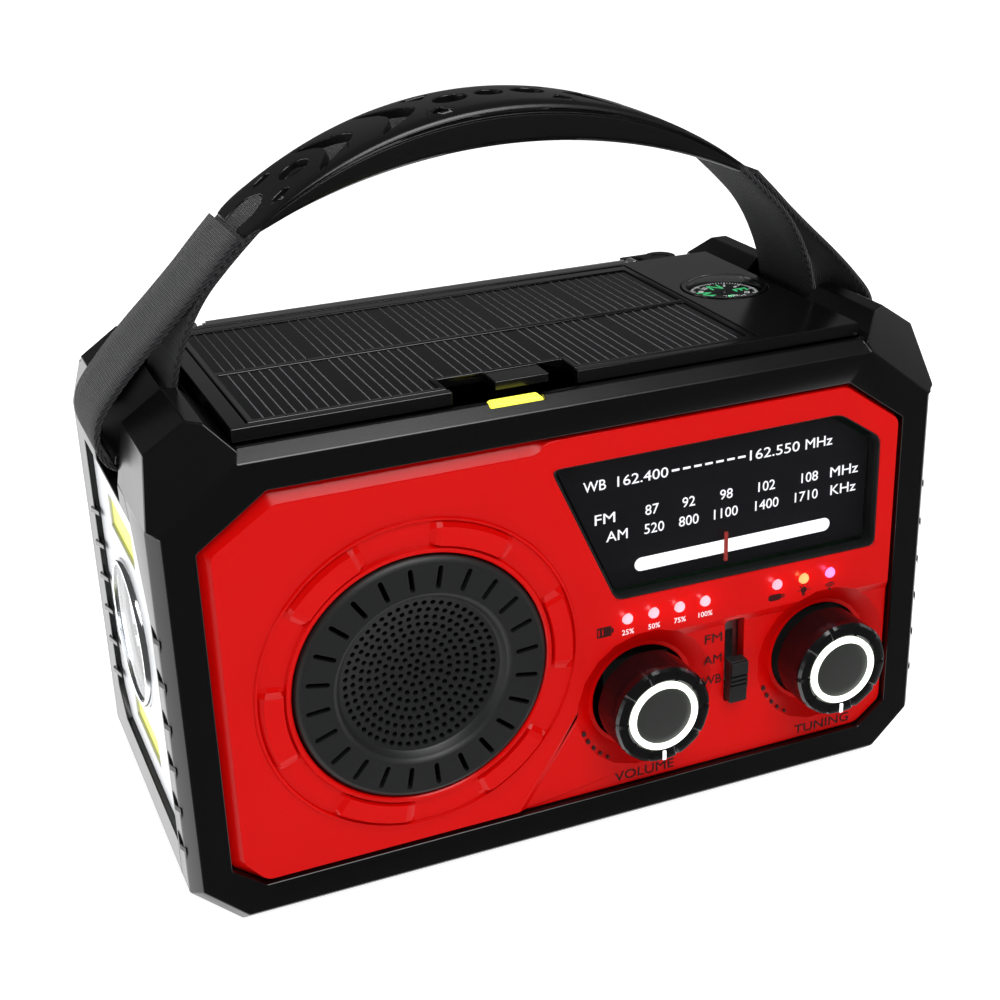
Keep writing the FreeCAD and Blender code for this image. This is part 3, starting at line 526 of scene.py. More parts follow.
def make_camera():
    """Looks down on the front left corner."""
    azimuth, elevation, roll = (math.radians(angle) for angle in (-22.018, 23.533, -1.942))
    target, distance = Vector((-18.3, -44.0, 90.7)), 351.16
    back = Vector((math.sin(azimuth) * math.cos(elevation), -math.cos(azimuth) * math.cos(elevation),
                   math.sin(elevation)))
    across = (-back).cross(Vector((0, 0, 1))).normalized()
    upward = across.cross(-back)
    x_axis = math.cos(roll) * across + math.sin(roll) * upward
    y_axis = -math.sin(roll) * across + math.cos(roll) * upward
    data = bpy.data.cameras.new("camera")
    data.sensor_width, data.lens = 36.0, 59.82
    data.clip_start, data.clip_end = 0.01, 20.0
    camera = linked("camera", data)
    turn = Matrix((x_axis, y_axis, back)).transposed().to_4x4()
    camera.matrix_world = Matrix.Translation((target + back * distance) * MM) @ turn
    scene.camera = camera


def make_stage():
    """A pale floor and a pale dome round it, which the camera sees but reflections don't."""
    glow = {"Specular IOR Level": 0.1, "Emission Color": (1, 1, 1, 1), "Emission Strength": 0.90}
    floor_white = Surface("floor_white", (0.90, 0.90, 0.90), 0.6, glow)
    floor_white.mottle((0.89, 0.89, 0.89), (0.91, 0.91, 0.91), 60.0)
    bm = bmesh.new()
    bmesh.ops.create_grid(bm, x_segments=8, y_segments=8, size=6.0 / MM)
    floor = piece("floor", bm, floor_white.material, None)
    dome_white = glowing("dome_white", (1.0, 1.0, 1.0), 1.0, 1.0)
    bm = bmesh.new()
    bmesh.ops.create_uvsphere(bm, u_segments=48, v_segments=24, radius=5.5 / MM)
    dome = piece("dome", bm, dome_white, None)
    for item in (floor, dome):
        item.visible_glossy = False
        item.visible_shadow = False
    dome.visible_diffuse = False


def make_world():
    """What the gloss reflects: a bright ground behind and beside the part, and a dark room in front and above."""
    world = bpy.data.worlds.new("studio")
    scene.world = world
    world.use_nodes = True
    sky = Nodes(world.node_tree)
    shine = sky.tree.nodes["Background"].inputs
    shine["Color"].default_value = (1, 1, 1, 1)
    room_glow = 0.08

    def ramp(value, start, end, first, last):
        return sky.between(value, first, last, start, end, interpolation_type="SMOOTHSTEP")

    x, y, z = sky.node("SeparateXYZ", {0: sky.node("TexCoord").outputs["Generated"]}).outputs
    behind = ramp(y, -0.62, -0.25, 0.0, 1.0)
    ground = ramp(z, -0.14, 0.04, 1.0, 0.0)
    leftward = ramp(x, -0.7, 0.1, 2.1, 1.15)
    bright = sky.math("MULTIPLY", sky.math("MULTIPLY", behind, ground), leftward)
    sky.feed(shine["Strength"], sky.math("ADD", bright, room_glow))


def area_light(name, place, size, radiance):
    """A softbox that faces the part. Its power follows from its radiance and its area, in metres."""
    data = bpy.data.lights.new(name, "AREA")
    data.shape, data.size, data.size_y = "RECTANGLE", *size
    data.energy = radiance * math.pi * size[0] * size[1]
    light = linked(name, data)
    light.location = place
    light.rotation_euler = (Vector((0.0, 0.0, 0.07)) - light.location).to_track_quat("-Z", "Y").to_euler()


def point_light(name, place, power, colour):
    data = bpy.data.lights.new(name, "POINT")
    data.energy, data.color, data.shadow_soft_size = power, colour, 0.4 * MM
    linked(name, data).location = place * MM


def make_lights():
    area_light("key", (0.12, -0.74, 1.13), (0.76, 0.85), 7.8)
    area_light("left_box", (-1.25, 0.10, 0.30), (0.8, 0.5), 4.0)
    area_light("right_box", (1.3, 0.1, 0.55), (0.5, 0.7), 0.9)
    area_light("back_box", (0.52, 1.43, 0.52), (0.9, 0.35), 0.12)
    scene.view_settings.view_transform = "Standard"


# ---- the case ----

def make_case():
    refined("front_frame", shell_black, 0.35)
    refined("rear_housing", shell_black, 0.35)
    refined("top_plate", gloss_black, 0.3)
    refined("battery_door", matt_black, 0.25)
    for material, nodes in (
            (soft_rubber, ("rubber_feet",)),
            (board_green, ("main_board", "led_boards")),
            (sleeve_blue, ("battery_pack",)),
            (ferrite_grey, ("ferrite_antenna",)),
            (white_nylon, ("crank_gear",)),
            (matt_black, ("dynamo_housing", "volume_pot", "tuning_capacitor")),
            (steel, ("dynamo_rotor", "band_switch", "speaker_driver", "usb_ports", "solar_hinge_pin",
                     "volume_spindle", "tuning_spindle", "crank_knob_post"))):
        for node in nodes:
            paint(node, material)


RIB_HALF = 1.15


def wedge(place, u0, u1, v, base, peak, rise):
    """A grip rib that swells from u0 to its tip near u1."""
    def section(u, w, share):
        middle, half = v + rise * (u - u0) / (u1 - u0), RIB_HALF * share
        return [place(u, middle - half, base - 0.4), place(u, middle - half * 0.6, w),
                place(u, middle + half * 0.6, w), place(u, middle + half, base - 0.4)]

    tip = u0 + (u1 - u0) * 0.7
    return loft([section(u0, base + 0.05, 0.7), section(tip, peak, 1.0), section(u1, base - 0.35, 0.8)])


def make_ribs():
    """Finger ribs on the side walls, six in front and six behind on each side."""
    wall = high("front_frame").x
    for side, place, proud in (("left", left, 0.7), ("right", right, 0.15)):
        rows = {"front": (-35.0, -41.6, 23.6, 10.0, wall, wall + proud, -1.2),
                "rear": (24.5, 34.5, 31.5, 8.7, wall - 0.4, wall + proud - 0.2, -2.0)}
        for row, (u0, u1, first, pitch, base, peak, rise) in rows.items():
            ribs = [wedge(place, u0, u1, first + pitch * i, base, peak, rise) for i in range(6)]
            piece("ribs_%s_%s" % (row, side), joined(*ribs), shell_black, "casing", bevel=0.2)


# ---- the red front ----

WINDOW = [(-6.2, 94.9), (66.5, 95.1), (77.7, 87.6), (77.9, 59.8), (9.1, 60.4)]
PANEL_FACE = 43.6
FIELD_FACE = 42.4


def led_places(node, count):
    edge = 1.3
    first, last = low(node).x + edge, high(node).x - edge
    return [first + (last - first) * i / (count - 1) for i in range(count)]


def make_front_panel():
    """The gloss red panel: a chamfered plate with a sunk lower field, two knob dishes and its openings."""
    back, shoulder = -high("front_panel").y, 41.5
    half, foot, head = high("front_panel").x, low("front_panel").z, high("front_panel").z
    edge = [(-half, 15.8), (-half, 91.6), (-68, head), (-9.4, head), (-7.0, head), (68, head), (half, 91.6),
            (half, 15.8), (76.2, foot), (-76.2, foot)]
    crest = [(-80.6, 17.0), (-80.6, 90.2), (-67.2, 99.0), (-9.4, 99.0), (-7.0, 101.5), (67.6, 101.5),
             (82.4, 91.2), (82.4, 16.2), (75.9, 11.2), (-75.9, 11.2)]
    edge, crest = rounded(edge, 1.6), rounded(crest, 1.6)
    body = tower(front, (back, edge), (shoulder, edge), (PANEL_FACE, crest))
    brink = [(-16.4, 9.0), (-16.4, 10.8), (-0.7, 34.2), (3.5, 42.7), (8.5, 49.0), (11.2, 49.5), (86, 49.3),
             (86, 9.0)]
    below = [(-14.0, 9.0), (-14.0, 10.8), (1.4, 33.2), (5.5, 41.5), (9.7, 46.7), (11.5, 47.2), (86, 47.0),
             (86, 9.0)]
    tools = [tower(front, (FIELD_FACE, below), (PANEL_FACE + 0.02, brink))]

    def open_up(outline, clearance=1):
        tools.append(plate(front, back - 1, PANEL_FACE + clearance, outline))

    open_up(rounded(WINDOW, 2.2))
    speaker = centre("speaker_grille")
    open_up(circle(speaker.x, speaker.z, 29.5, 96))
    for knob in ("volume_knob", "tuning_knob"):
        at = centre(knob)
        rim, seat = [circle(at.x, at.z, radius, 20, math.pi / 20) for radius in (17.8, 13.6)]
        tools.append(tower(front, (back + 0.7, seat), (FIELD_FACE + 0.02, rim), (PANEL_FACE + 0.3, rim)))
        open_up(circle(at.x, at.z, 12.45, 64), 0)
    open_up(rounded(box_outline(38.2, 43.3, 26.3, 48.1), 1.0))
    for across in led_places("battery_leds", 4) + led_places("status_leds", 3):
        open_up(circle(across, centre("battery_leds").z, 1.42, 24))
    panel = boolean(body, tools)
    bmesh.ops.dissolve_limit(panel, angle_limit=math.radians(0.5), verts=panel.verts, edges=panel.edges)
    fitting("front_panel_finish", panel, gloss_red, "front_panel", bevel=0.16, smooth=14)


def make_speaker_bezel():
    """The red ring round the speaker, with six high blocks and six low ones joined by slanted steps."""
    speaker = centre("speaker_grille")
    period, step, turn = math.tau / 6, math.radians(3.2), math.radians(9)
    valley, brow, lift = 31.6, 34.6, 1.25

    def shape(angle, r, w):
        phase = (angle + turn) % period
        share = min(1.0, phase / step) - min(1.0, max(0.0, (phase - period / 2) / step))
        if r == valley:
            return (r + 0.35 - 0.75 * share, w + lift * share)
        if r == brow:
            return (r + 0.85 * share, w + lift * share)
        return (r, w)

    profile = [(29.45, 40.2), (29.45, 44.3), (29.75, 44.6), (30.5, 44.6), (30.9, 43.8), (valley, 43.85),
               (brow, 43.85), (36.4, 43.62), (36.65, 44.1), (37.15, 44.1), (37.5, 43.4), (37.5, 40.2),
               (29.45, 40.2)]
    ring = lathe(front, speaker.x - 0.35, speaker.z + 0.35, profile, 180, shape)
    piece("speaker_bezel", ring, gloss_red, "casing", smooth=9)


def make_grille():
    """The speaker grille: a slotted flat ring round a dish of small holes in nine rings."""
    at = centre("speaker_grille")
    face, dish, deep, sag, thick = 44.8, 18.6, 39.4, 2.9, 1.1
    slots = [spoke(at.x, at.z, 22.1, 26.4, math.tau * (i + 0.28) / 24, 1.15) for i in range(24)]
    ring = plate(front, face - 1.6, face, circle(at.x, at.z, 27.7, 96), [circle(at.x, at.z, 20.6, 96), *slots])
    holes = [circle(at.x, at.z, 0.62, 12)]
    for k in range(1, 10):
        for i in range(6 * k):
            angle = math.tau * i / (6 * k) + 0.37 * k
            holes.append(circle(*around(at.x, at.z, 1.91 * k, angle), 0.60, 12))
    bowl = plate(front, 0, thick, circle(at.x, at.z, dish, 96), holes)
    for point in bowl.verts:
        reach = math.hypot(point.co.x - at.x, point.co.z - at.z)
        point.co.y -= deep + sag * (reach / dish) ** 2 - thick
    rim = [(18.55, 41.1), (18.55, 42.3), (18.9, 42.6), (19.5, 43.9), (19.9, 44.5), (20.6, face), (20.65, 43.2),
           (18.55, 41.1)]
    edge = [(27.6, 43.2), (27.65, face), (28.2, 44.65), (28.9, 44.1), (29.2, 43.2), (29.2, 40.5), (27.6, 40.5),
            (27.6, 43.2)]
    rims = [lathe(front, at.x, at.z, profile, 96) for profile in (rim, edge)]
    fitting("grille", joined(ring, bowl, *rims), matt_black, "speaker_grille", smooth=35)
    cloth = [(0, 37.6), (20.0, 37.6), (28.5, 38.4), (28.5, 38.0), (20.0, 37.2), (0, 37.2)]
    piece("speaker_cloth", lathe(front, at.x, at.z, cloth, 64), black_cloth, "casing")


def make_knobs():
    """Two notched knobs, each with a lit ring round a domed cap and a white pointer at the bottom, which glows as
    a painted highlight.
    """
    notches, skirt, shoulder, crown = 10, 11.0, 9.0, 49.0

    def shape(angle, r, w):
        phase = (angle / math.tau * notches + 0.5) % 1.0
        flat = 0.16 * math.cos(math.pi * (phase - 0.5))
        if abs(phase - 0.5) < 0.06 and r > shoulder and w > crown:
            return (r - (0.22 if r > skirt else 0.0), w - 0.35)
        return (r - 0.16 + flat, w) if r > skirt else (r, w)

    for knob, ring in (("volume_knob", "volume_light_ring"), ("tuning_knob", "tuning_light_ring")):
        at = centre(knob)
        tip = -low(knob).y

        def turned(profile, steps, shape=None):
            return lathe(front, at.x, at.z, profile, steps, shape)

        body = [(0, 42.0), (11.6, 42.0), (12.1, 42.6), (12.2, 50.2), (12.1, 51.4), (11.6, tip - 0.15), (11.1, tip),
                (9.3, tip), (8.9, tip - 0.25), (8.7, tip - 0.9), (7.0, tip - 0.9), (0, tip - 0.9)]
        fitting(knob + "_finish", turned(body, 120, shape), gloss_black, knob, smooth=24)
        cap = [(7.1, tip - 1.0), (7.1, tip - 0.35), (6.8, tip - 0.15), (5.0, tip + 0.02), (2.5, tip + 0.12),
               (0, tip + 0.15)]
        fitting(knob + "_cap", turned(cap, 72), cap_grey, knob, replaced=False)
        glow = [(7.15, tip - 0.8), (7.2, tip + 0.05), (7.5, tip + 0.25), (8.2, tip + 0.25), (8.55, tip + 0.05),
                (8.6, tip - 0.8)]
        fitting(ring + "_finish", turned(glow, 96), lit_ring, ring, smooth=60)
        # The pointer is white print that glows with the lit print, though no lamp lights it: a painted highlight.
        mark = rounded(box_outline(at.x - 0.45, at.x + 0.45, at.z - 11.5, at.z - 9.1), 0.2)
        fitting(knob + "_pointer", plate(front, tip - 0.3, tip + 0.12, mark), lit_print, knob, replaced=False)


def make_slider():
    """The band switch's thumb piece, with three grip ridges, in its dark slot."""
    lo, hi = low("band_slider"), high("band_slider")
    face = -lo.y
    base = plate(front, face - 3.4, face - 0.7, rounded(box_outline(lo.x, hi.x, lo.z, hi.z), 0.5))
    crown = plate(front, face - 0.8, face, box_outline(lo.x + 0.15, hi.x - 0.15, lo.z + 7.6, hi.z - 0.3))
    ridges = [plate(front, face - 0.8, face - 0.15, box_outline(lo.x + 0.1, hi.x - 0.1, foot, foot + 0.65))
              for foot in (lo.z + 4.0 + 1.15 * i for i in range(3))]
    fitting("band_slider_finish", joined(base, crown, *ridges), matt_black, "band_slider", bevel=0.12)


# ---- the dial ----

def make_dial():
    """The lit dial behind its dark window, with generic band scales."""
    paint("dial_plate", dial_black)
    refined("display_window", dark_clear, 0.0)
    rim = rounded(WINDOW, 2.1)
    middle = Vector((sum(u for u, v in WINDOW), sum(v for u, v in WINDOW))) / len(WINDOW)
    inner = [tuple(middle + (Vector(point) - middle) * 0.988) for point in rim]
    piece("display_gasket", plate(front, 39.8, 43.5, rim, [inner]), matt_black, "casing")
    refined("dial_backlight", lit_white, 0.0)
    refined("dial_needle", lit_needle, 0.0)
    face, tall = 40.66, 2.45
    marks = []
    rows = {88.0: {"WB": (2.7, 8.2), "162.400": (11.0, 23.6), "162.550": (44.5, 57.6), "MHz": (59.2, 66.4)},
            79.7: {"FM": (5.4, 10.4), "MHz": (66.3, 73.9)},
            75.1: {"AM": (8.2, 13.5), "KHz": (66.6, 73.5)}}
    for height, words in rows.items():
        foot = height - tall / 2
        marks += [lettering(word, front, u0, foot, face, tall, u1 - u0) for word, (u0, u1) in words.items()]
    scales = {79.7: {"87": 19.6, "92": 28.9, "98": 38.6, "102": 49.2, "108": 60.7},
              75.1: {"520": 20.2, "800": 29.0, "1100": 38.6, "1400": 49.4, "1710": 60.0}}
    for height, numbers in scales.items():
        marks += [lettering(number, front, u, height, face, tall, centred=True) for number, u in numbers.items()]
    for i in range(7):
        start = 24.5 + 2.82 * i
        marks.append(plate(front, face, face + RELIEF, box_outline(start, start + 1.9, 87.8, 88.3)))
    piece("dial_lettering", joined(*marks), lit_print, "casing")


def make_leds():
    """Four battery lights and three status lights, each a lit dome, and a soft light on the panel."""
    face, level = -low("battery_leds").y, centre("battery_leds").z
    dome = [(1.3, face - 2.0), (1.3, face - 0.3), (1.1, face + 0.05), (0.6, face + 0.3), (0, face + 0.38)]
    rows = [("battery_led_%d" % i, across, led_pink, (1.0, 0.45, 0.5), "battery_leds")
            for i, across in enumerate(led_places("battery_leds", 4), 1)]
    for (use, colour), across in zip(STATUS_COLOURS.items(), led_places("status_leds", 3)):
        material = glowing("led_" + use, colour, LED_STRENGTH)
        rows.append(("status_led_" + use, across, material, colour, "status_leds"))
    for name, across, material, colour, node in rows:
        fitting(name, lathe(front, across, level, dome, 24), material, node, smooth=60)
        point_light(name + "_light", front(across, level, face + 2.6), 0.00026, colour)


def make_printing():
    """The printed names, level dots and status marks on the red panel."""
    field, face = FIELD_FACE + 0.02, PANEL_FACE + 0.02
    names = [lettering(word, front, u, 11.8, field, 2.4, wide)
             for word, u, wide in (("VOLUME", 9.2, 15.7), ("TUNING", 58.5, 15.6))]
    names += [lettering(word, front, 37.4 - wide, height - 1.15, field, 2.3, wide)
              for word, height, wide in (("FM", 44.2, 4.6), ("AM", 38.6, 4.8), ("WB", 33.1, 5.1))]
    piece("panel_names", joined(*names), black_print, "casing")
    spots = []
    for knob in ("volume_knob", "tuning_knob"):
        at = centre(knob)
        for i in range(5):
            spot = around(at.x, at.z, 16.9, math.radians(201 + 8.6 * i))
            spots.append(plate(front, field - 0.4, field + 0.03, circle(*spot, 0.62 - 0.06 * i, 16)))
    piece("level_dots", joined(*spots), dark_print, "casing")
    # The charge labels are pink print that glows: a painted highlight.
    shares = [lettering(word, front, across, 51.9, face, 1.3, centred=True)
              for word, across in zip(("25%", "50%", "75%", "100%"), led_places("battery_leds", 4))]
    piece("charge_labels", joined(*shares), painted_glow_pink, "casing")
    marks = [plate(front, face - 0.3, face + 0.05, *outlines) for outlines in status_marks()]
    piece("status_marks", joined(*marks), dark_print, "casing")


def status_marks():
    """Generic signs: a battery, a plug, a lamp and a wireless mark. Each row is an outline, with any holes."""
    charge, lamp, wireless = led_places("status_leds", 3)
    signs = [(box_outline(4.3, 7.9, 51.9, 54.4),
              [box_outline(4.6, 5.0, 52.3, 54.0), box_outline(5.6, 5.9, 52.3, 54.0)]),
             (box_outline(8.0, 8.5, 52.6, 53.7),),
             (slot_outline((charge - 1.6, 51.9), (charge + 0.4, 51.9), 1.6),),
             (box_outline(charge + 1.2, charge + 2.1, 51.5, 51.75),),
             (box_outline(charge + 1.2, charge + 2.1, 52.1, 52.35),),
             (circle(lamp, 52.2, 0.85, 20),),
             (box_outline(lamp - 0.4, lamp + 0.4, 50.7, 51.3),)]
    signs += [(spoke(lamp, 52.2, 1.15, 1.6, math.pi * i / 4, 0.25, 4),) for i in range(5)]
    signs.append((circle(wireless, 50.9, 0.35, 12),))
    return signs + [(arc_band(wireless, 50.9, radius, 0.15, 40, 100),) for radius in (0.95, 1.6)]


# ---- the top ----

def make_top():
    refined("solar_frame", gloss_black, 0.3)
    start = low("solar_cells").x
    wide = (high("solar_cells").x - start) / 5
    paint("solar_cells", photovoltaic("cells", start, wide, 2.3, 9))
    refined("reading_lamp", lit_yellow, 0.35)
    refined("antenna_mount", matt_black, 0.25)


def turned_place(at, angle, radius):
    """A place on the compass card for a sign that reads outwards, clockwise from north."""
    def place(u, v, w):
        x, y = u, v + radius
        return Vector((at.x + x * math.cos(-angle) - y * math.sin(-angle),
                       at.y + x * math.sin(-angle) + y * math.cos(-angle), w))
    return place


def make_compass():
    """A liquid compass: a black card with glowing ticks and letters under a clear dome. Their glow is a painted
    highlight, as no lamp lights them.
    """
    at = centre("compass_card")
    face, bezel, crown = high("compass_card").z, high("top_plate").z, high("compass_capsule").z

    def turned(*profile):
        return lathe(top, at.x, at.y, profile)

    def sign(words, angle, radius, lift, height):
        return lettering(words, turned_place(at, angle, radius), 0, 0, face + lift, height, centred=True)

    card = turned((0, face - 0.8), (8.8, face - 0.8), (8.8, face - 0.3), (8.5, face), (0.9, face),
                  (0.6, face + 0.5), (0, face + 0.6))
    fitting("compass_disc", card, matt_black, "compass_card")
    ticks = []
    for i in range(72):
        near, width = (7.0, 0.3) if i % 6 == 0 else (7.6, 0.18)
        ticks.append(plate(top, face, face + 0.05, spoke(at.x, at.y, near, 8.2, math.tau * i / 72, width, 3)))
    ticks += [sign(str(3 * i), math.tau * i / 12, 5.6, 0.02, 1.3) for i in range(12) if i % 3]
    letters = [sign(word, math.tau * i / 4, 4.6, 0.03, 3.4) for i, word in enumerate("NESW")]
    # The printed ticks and letters glow: a painted highlight.
    fitting("compass_ticks", joined(*ticks), painted_glow_white, "compass_card", replaced=False)
    fitting("compass_letters", joined(*letters), painted_glow_green, "compass_card", replaced=False)
    dome = turned((9.6, bezel - 0.6), (9.6, bezel + 0.25), (9.0, bezel + 0.75), (7.2, crown - 0.55),
                  (4.5, crown - 0.15), (2.0, crown - 0.02), (0, crown))
    fitting("compass_dome", dome, clear_plastic, "compass_capsule", smooth=60)
    cup = turned((0, face - 4.0), (9.2, face - 4.0), (9.3, face + 0.8), (9.5, bezel + 0.2), (10.4, bezel + 0.25),
                 (10.5, bezel - 0.3), (10.5, face - 4.8), (0, face - 4.8))
    piece("compass_cup", cup, gloss_black, "casing")


# ---- the sides ----

def make_sides():
    for node, material, bevel in (
            ("side_panel_left", silver, 0.3), ("side_panel_right", silver, 0.3),
            ("side_light_lenses", slot_yellow, 0.2), ("light_button", matt_black, 0.3),
            ("alarm_button", gloss_red, 0.3)):
        refined(node, material, bevel)
    make_flashlight()
    make_port_cover()
    sun, bell = centre("light_button"), centre("alarm_button")
    rays = [circle(sun.y, sun.z, 1.1, 24)]
    rays += [spoke(sun.y, sun.z, 1.7, 2.6, math.tau * i / 8, 0.45, 4) for i in range(8)]
    waves = [circle(bell.y, bell.z, 0.7, 24)]
    waves += [arc_band(bell.y, bell.z, radius, 0.22, begin, 80) for radius in (1.7, 2.7) for begin in (-40, 140)]
    for button, outlines in (("light_button", rays), ("alarm_button", waves)):
        face = high("light_button").x
        mark = joined(*[plate(right, face, face + 0.06, outline) for outline in outlines])
        # The sun and bell marks are white print that glows: a painted highlight.
        fitting(button + "_mark", mark, painted_glow_white, button, replaced=False)


def make_flashlight():
    """The torch: a faceted bright cone with its light source, behind a clear lens with a chrome lip."""
    at = centre("flashlight_lens")
    face = -low("flashlight_lens").x
    cone = [(2.4, 76.0), (4.5, 77.2), (8.5, 80.6), (12.5, 85.0), (15.6, 89.2), (16.3, 89.2), (13.2, 84.6),
            (9.0, 80.0), (4.8, 76.4), (2.4, 75.4), (2.4, 76.0)]
    fitting("flashlight_cone", lathe(left, at.y, at.z, cone, 36), mirror_metal, "flashlight_reflector", smooth=8)
    bulb = [(2.3, 75.2), (2.3, 77.4), (1.9, 78.4), (1.0, 79.0), (0, 79.2)]
    piece("flashlight_led", lathe(left, at.y, at.z, bulb, 32), lit_white, "casing")
    lens = [(0, face - 1.4), (15.9, face - 1.4), (15.9, face - 0.5), (14.0, face - 0.2), (7.0, face + 0.1),
            (0, face + 0.2)]
    fitting("flashlight_glass", lathe(left, at.y, at.z, lens), clear_plastic, "flashlight_lens", smooth=60)
    lip = [(15.9, face - 1.6), (15.9, face + 0.1), (16.3, face + 0.3), (16.9, face + 0.2), (17.1, face - 0.3),
           (17.1, face - 1.6), (15.9, face - 1.6)]
    piece("flashlight_lip", lathe(left, at.y, at.z, lip), chrome, "casing")


def make_port_cover():
    """The rubber flap over the sockets, with a raised border and a thumb tab."""
    lo, hi = low("port_cover"), high("port_cover")
    rim, skin = 1.3, hi.x - 0.4
    outline = rounded(box_outline(lo.y, hi.y, lo.z, hi.z), 2.2)
    inner = rounded(box_outline(lo.y + rim, hi.y - rim, lo.z + rim, hi.z - rim), 1.4)
    flap = plate(right, lo.x, hi.x - 0.35, outline)
    border = plate(right, skin, hi.x, outline, [inner])
    tab = plate(right, skin, hi.x + 0.35, rounded(box_outline(-4.0, 4.0, hi.z - 1.2, hi.z - 0.1), 0.5))
    marks = [plate(right, skin, hi.x - 0.15, slot_outline((u, 35.0), (u, 41.5), 0.8)) for u in (-8, -4, 0, 4, 8)]
    fitting("port_flap_finish", joined(flap, border, tab, *marks), soft_rubber, "port_cover", bevel=0.12)


# ---- the rear ----

def make_rear():
    refined("crank_arm", shell_black, 0.4)
    refined("antenna_base", matt_black, 0.2)
    for node in ("antenna_tube_1", "antenna_tube_2", "antenna_tube_3"):
        refined(node, chrome, 0.08, 40)
    refined("antenna_tip", chrome, 0.3, 40)
    at = centre("crank_knob")
    y0, y1 = low("crank_knob").y, high("crank_knob").y
    flutes, flute_depth, neck = 12, 0.25, 4.2

    def fluted(angle, r, w):
        return (r - (flute_depth * (0.5 + 0.5 * math.cos(flutes * angle)) if r > neck else 0.0), w)

    profile = [(1.6, y0), (4.0, y0), (4.6, y0 + 0.6), (4.8, y0 + 1.6), (4.5, (y0 + y1) / 2), (4.8, y1 - 1.6),
               (4.6, y1 - 0.6), (4.0, y1), (1.8, y1), (1.6, y1 - 0.3), (1.6, y0)]
    knob = lathe(rear, at.x, at.z, profile, 96, fluted)
    fitting("crank_knob_finish", knob, grip_black, "crank_knob", smooth=40)
    make_screws()


def make_screws():
    """Cross-recess screws in the rear housing."""
    face, head = high("case_screws").y, 2.9
    profile = [(0, face - 2.2), (head, face - 1.8), (head, face - 0.5), (2.5, face - 0.12), (1.2, face), (0, face)]
    for name, across, up in (("high_left", -66, 102.2), ("high_right", 66, 102.2), ("low_left", -80, 9.8),
                             ("low_right", 80, 9.8)):
        cross = [plate(rear, face - 0.9, face + 0.5, box_outline(across - a, across + a, up - b, up + b))
                 for a, b in ((1.5, 0.28), (0.28, 1.5))]
        screw = boolean(lathe(rear, across, up, profile, 32), cross)
        fitting("screw_" + name, screw, steel, "case_screws")


# ---- the handle ----

GRIP_RADIUS, GRIP_CENTRE = 94.5, 72.6
UNDER_RADIUS, UNDER_CENTRE = 141.4, 16.2
GRIP_END, GRIP_HALF = 60.0, 13.0
STUD_PLACE = 47.2


def grip_place(along, across, w):
    """A point on the handle's top skin: along is the arc length from the middle, w the height above the skin."""
    angle = along / GRIP_RADIUS
    reach = GRIP_RADIUS + w
    return Vector((reach * math.sin(angle), across, GRIP_CENTRE + reach * math.cos(angle)))


def grip_section(angle):
    """The grip's cross-section where the top arc has turned by angle: a crowned skin over a softer body."""
    x = GRIP_RADIUS * math.sin(angle)
    skin = GRIP_CENTRE + GRIP_RADIUS * math.cos(angle)
    under = UNDER_CENTRE + math.sqrt(UNDER_RADIUS ** 2 - x ** 2)
    deep = skin - under
    taper = min(1.0, (GRIP_END + 0.5 - abs(x)) / 7.0)
    half = GRIP_HALF * (0.80 + 0.20 * math.sqrt(max(0.0, 1 - (1 - taper) ** 2)))
    side = [(0, 0), (0.55, 0), (0.84, 0.05), (0.95, 0.16), (0.985, 0.32), (0.985, 0.70), (0.965, 0.735),
            (0.965, 0.76), (1.0, 0.80), (1.0, 0.86), (0.97, 0.93), (0.90, 0.985), (0.70, 1.02), (0.35, 1.045),
            (0, 1.05)]
    whole = side + [(-a, b) for a, b in side[-2:0:-1]]
    return [Vector((x, half * a, under + deep * b)) for a, b in whole]


def crescent(along, reach, thick, bend):
    """A moon-shaped hole across the grip, its horns towards the nearer end."""
    steps = 14
    outer, inner = [], []
    for i in range(steps + 1):
        t = i / steps
        v = reach * (2 * t - 1)
        bulge = math.sin(math.pi * t)
        outer.append((along + bend * bulge, v))
        inner.append((along + bend * bulge - thick * bulge ** 0.8, v))
    return outer + inner[-2:0:-1]


def grip_holes():
    """The cut-outs in the top skin: those of the left half, the same mirrored, and the middle one."""
    shapes = [rounded([(-66, -5.2), (-58.6, -5.6), (-55.2, 0.0), (-58.6, 5.6), (-66, 5.2)], 3.0)]
    shapes += [slot_outline((-54.4, v - 0.2), (-52.4, v + 0.2), 2.6) for v in (-7.6, 7.6)]
    shapes += [circle(-STUD_PLACE, 0.0, 3.7, 28)]
    shapes += [crescent(-44.0, 10.2, 6.8, 11.5), crescent(-28.6, 10.2, 6.2, 11.0)]
    shapes += [rounded([(-17.8, side * 8.9), (-11.2, side * 8.9), (-14.0, side * 5.0)], 0.7) for side in (-1, 1)]
    shapes += [circle(-9.2, 0.0, 3.8, 28)]
    shapes += [[(-u, v) for u, v in outline] for outline in shapes]
    return [*shapes, circle(0.0, 0.0, 3.2, 28)]


def make_grip():
    """The grip with its cut-outs, two studs and the webbing that lines it."""
    span, stations = math.asin(GRIP_END / GRIP_RADIUS), 96
    body = loft([grip_section(span * (2 * i / stations - 1)) for i in range(stations + 1)])
    tools = [loft([[grip_place(u, v, w) for u, v in outline] for w in (-2.3, 2.5)]) for outline in grip_holes()]
    grip = boolean(body, tools)
    fitting("grip_finish", grip, grip_black, "handle_grip", bevel=0.28, smooth=32)
    studs = []
    for side in (-1, 1):
        stud = lathe(top, 0, 0, [(2.5, -2.4), (2.5, -1.2), (1.9, -0.6), (1.0, -0.3), (0, -0.2)], 28)
        for point in stud.verts:
            point.co = grip_place(side * STUD_PLACE + point.co.x, point.co.y, point.co.z)
        studs.append(stud)
    fitting("grip_studs", joined(*studs), grip_black, "handle_grip", replaced=False)
    path = [grip_place(u, 0.0, -2.05 + 0.75 * (abs(u) / 57) ** 4) for u in range(-57, 58, 3)]
    lining = ribbon("grip_webbing", path, 10.6, 0.5)
    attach(lining, "handle")


# ---- the straps ----

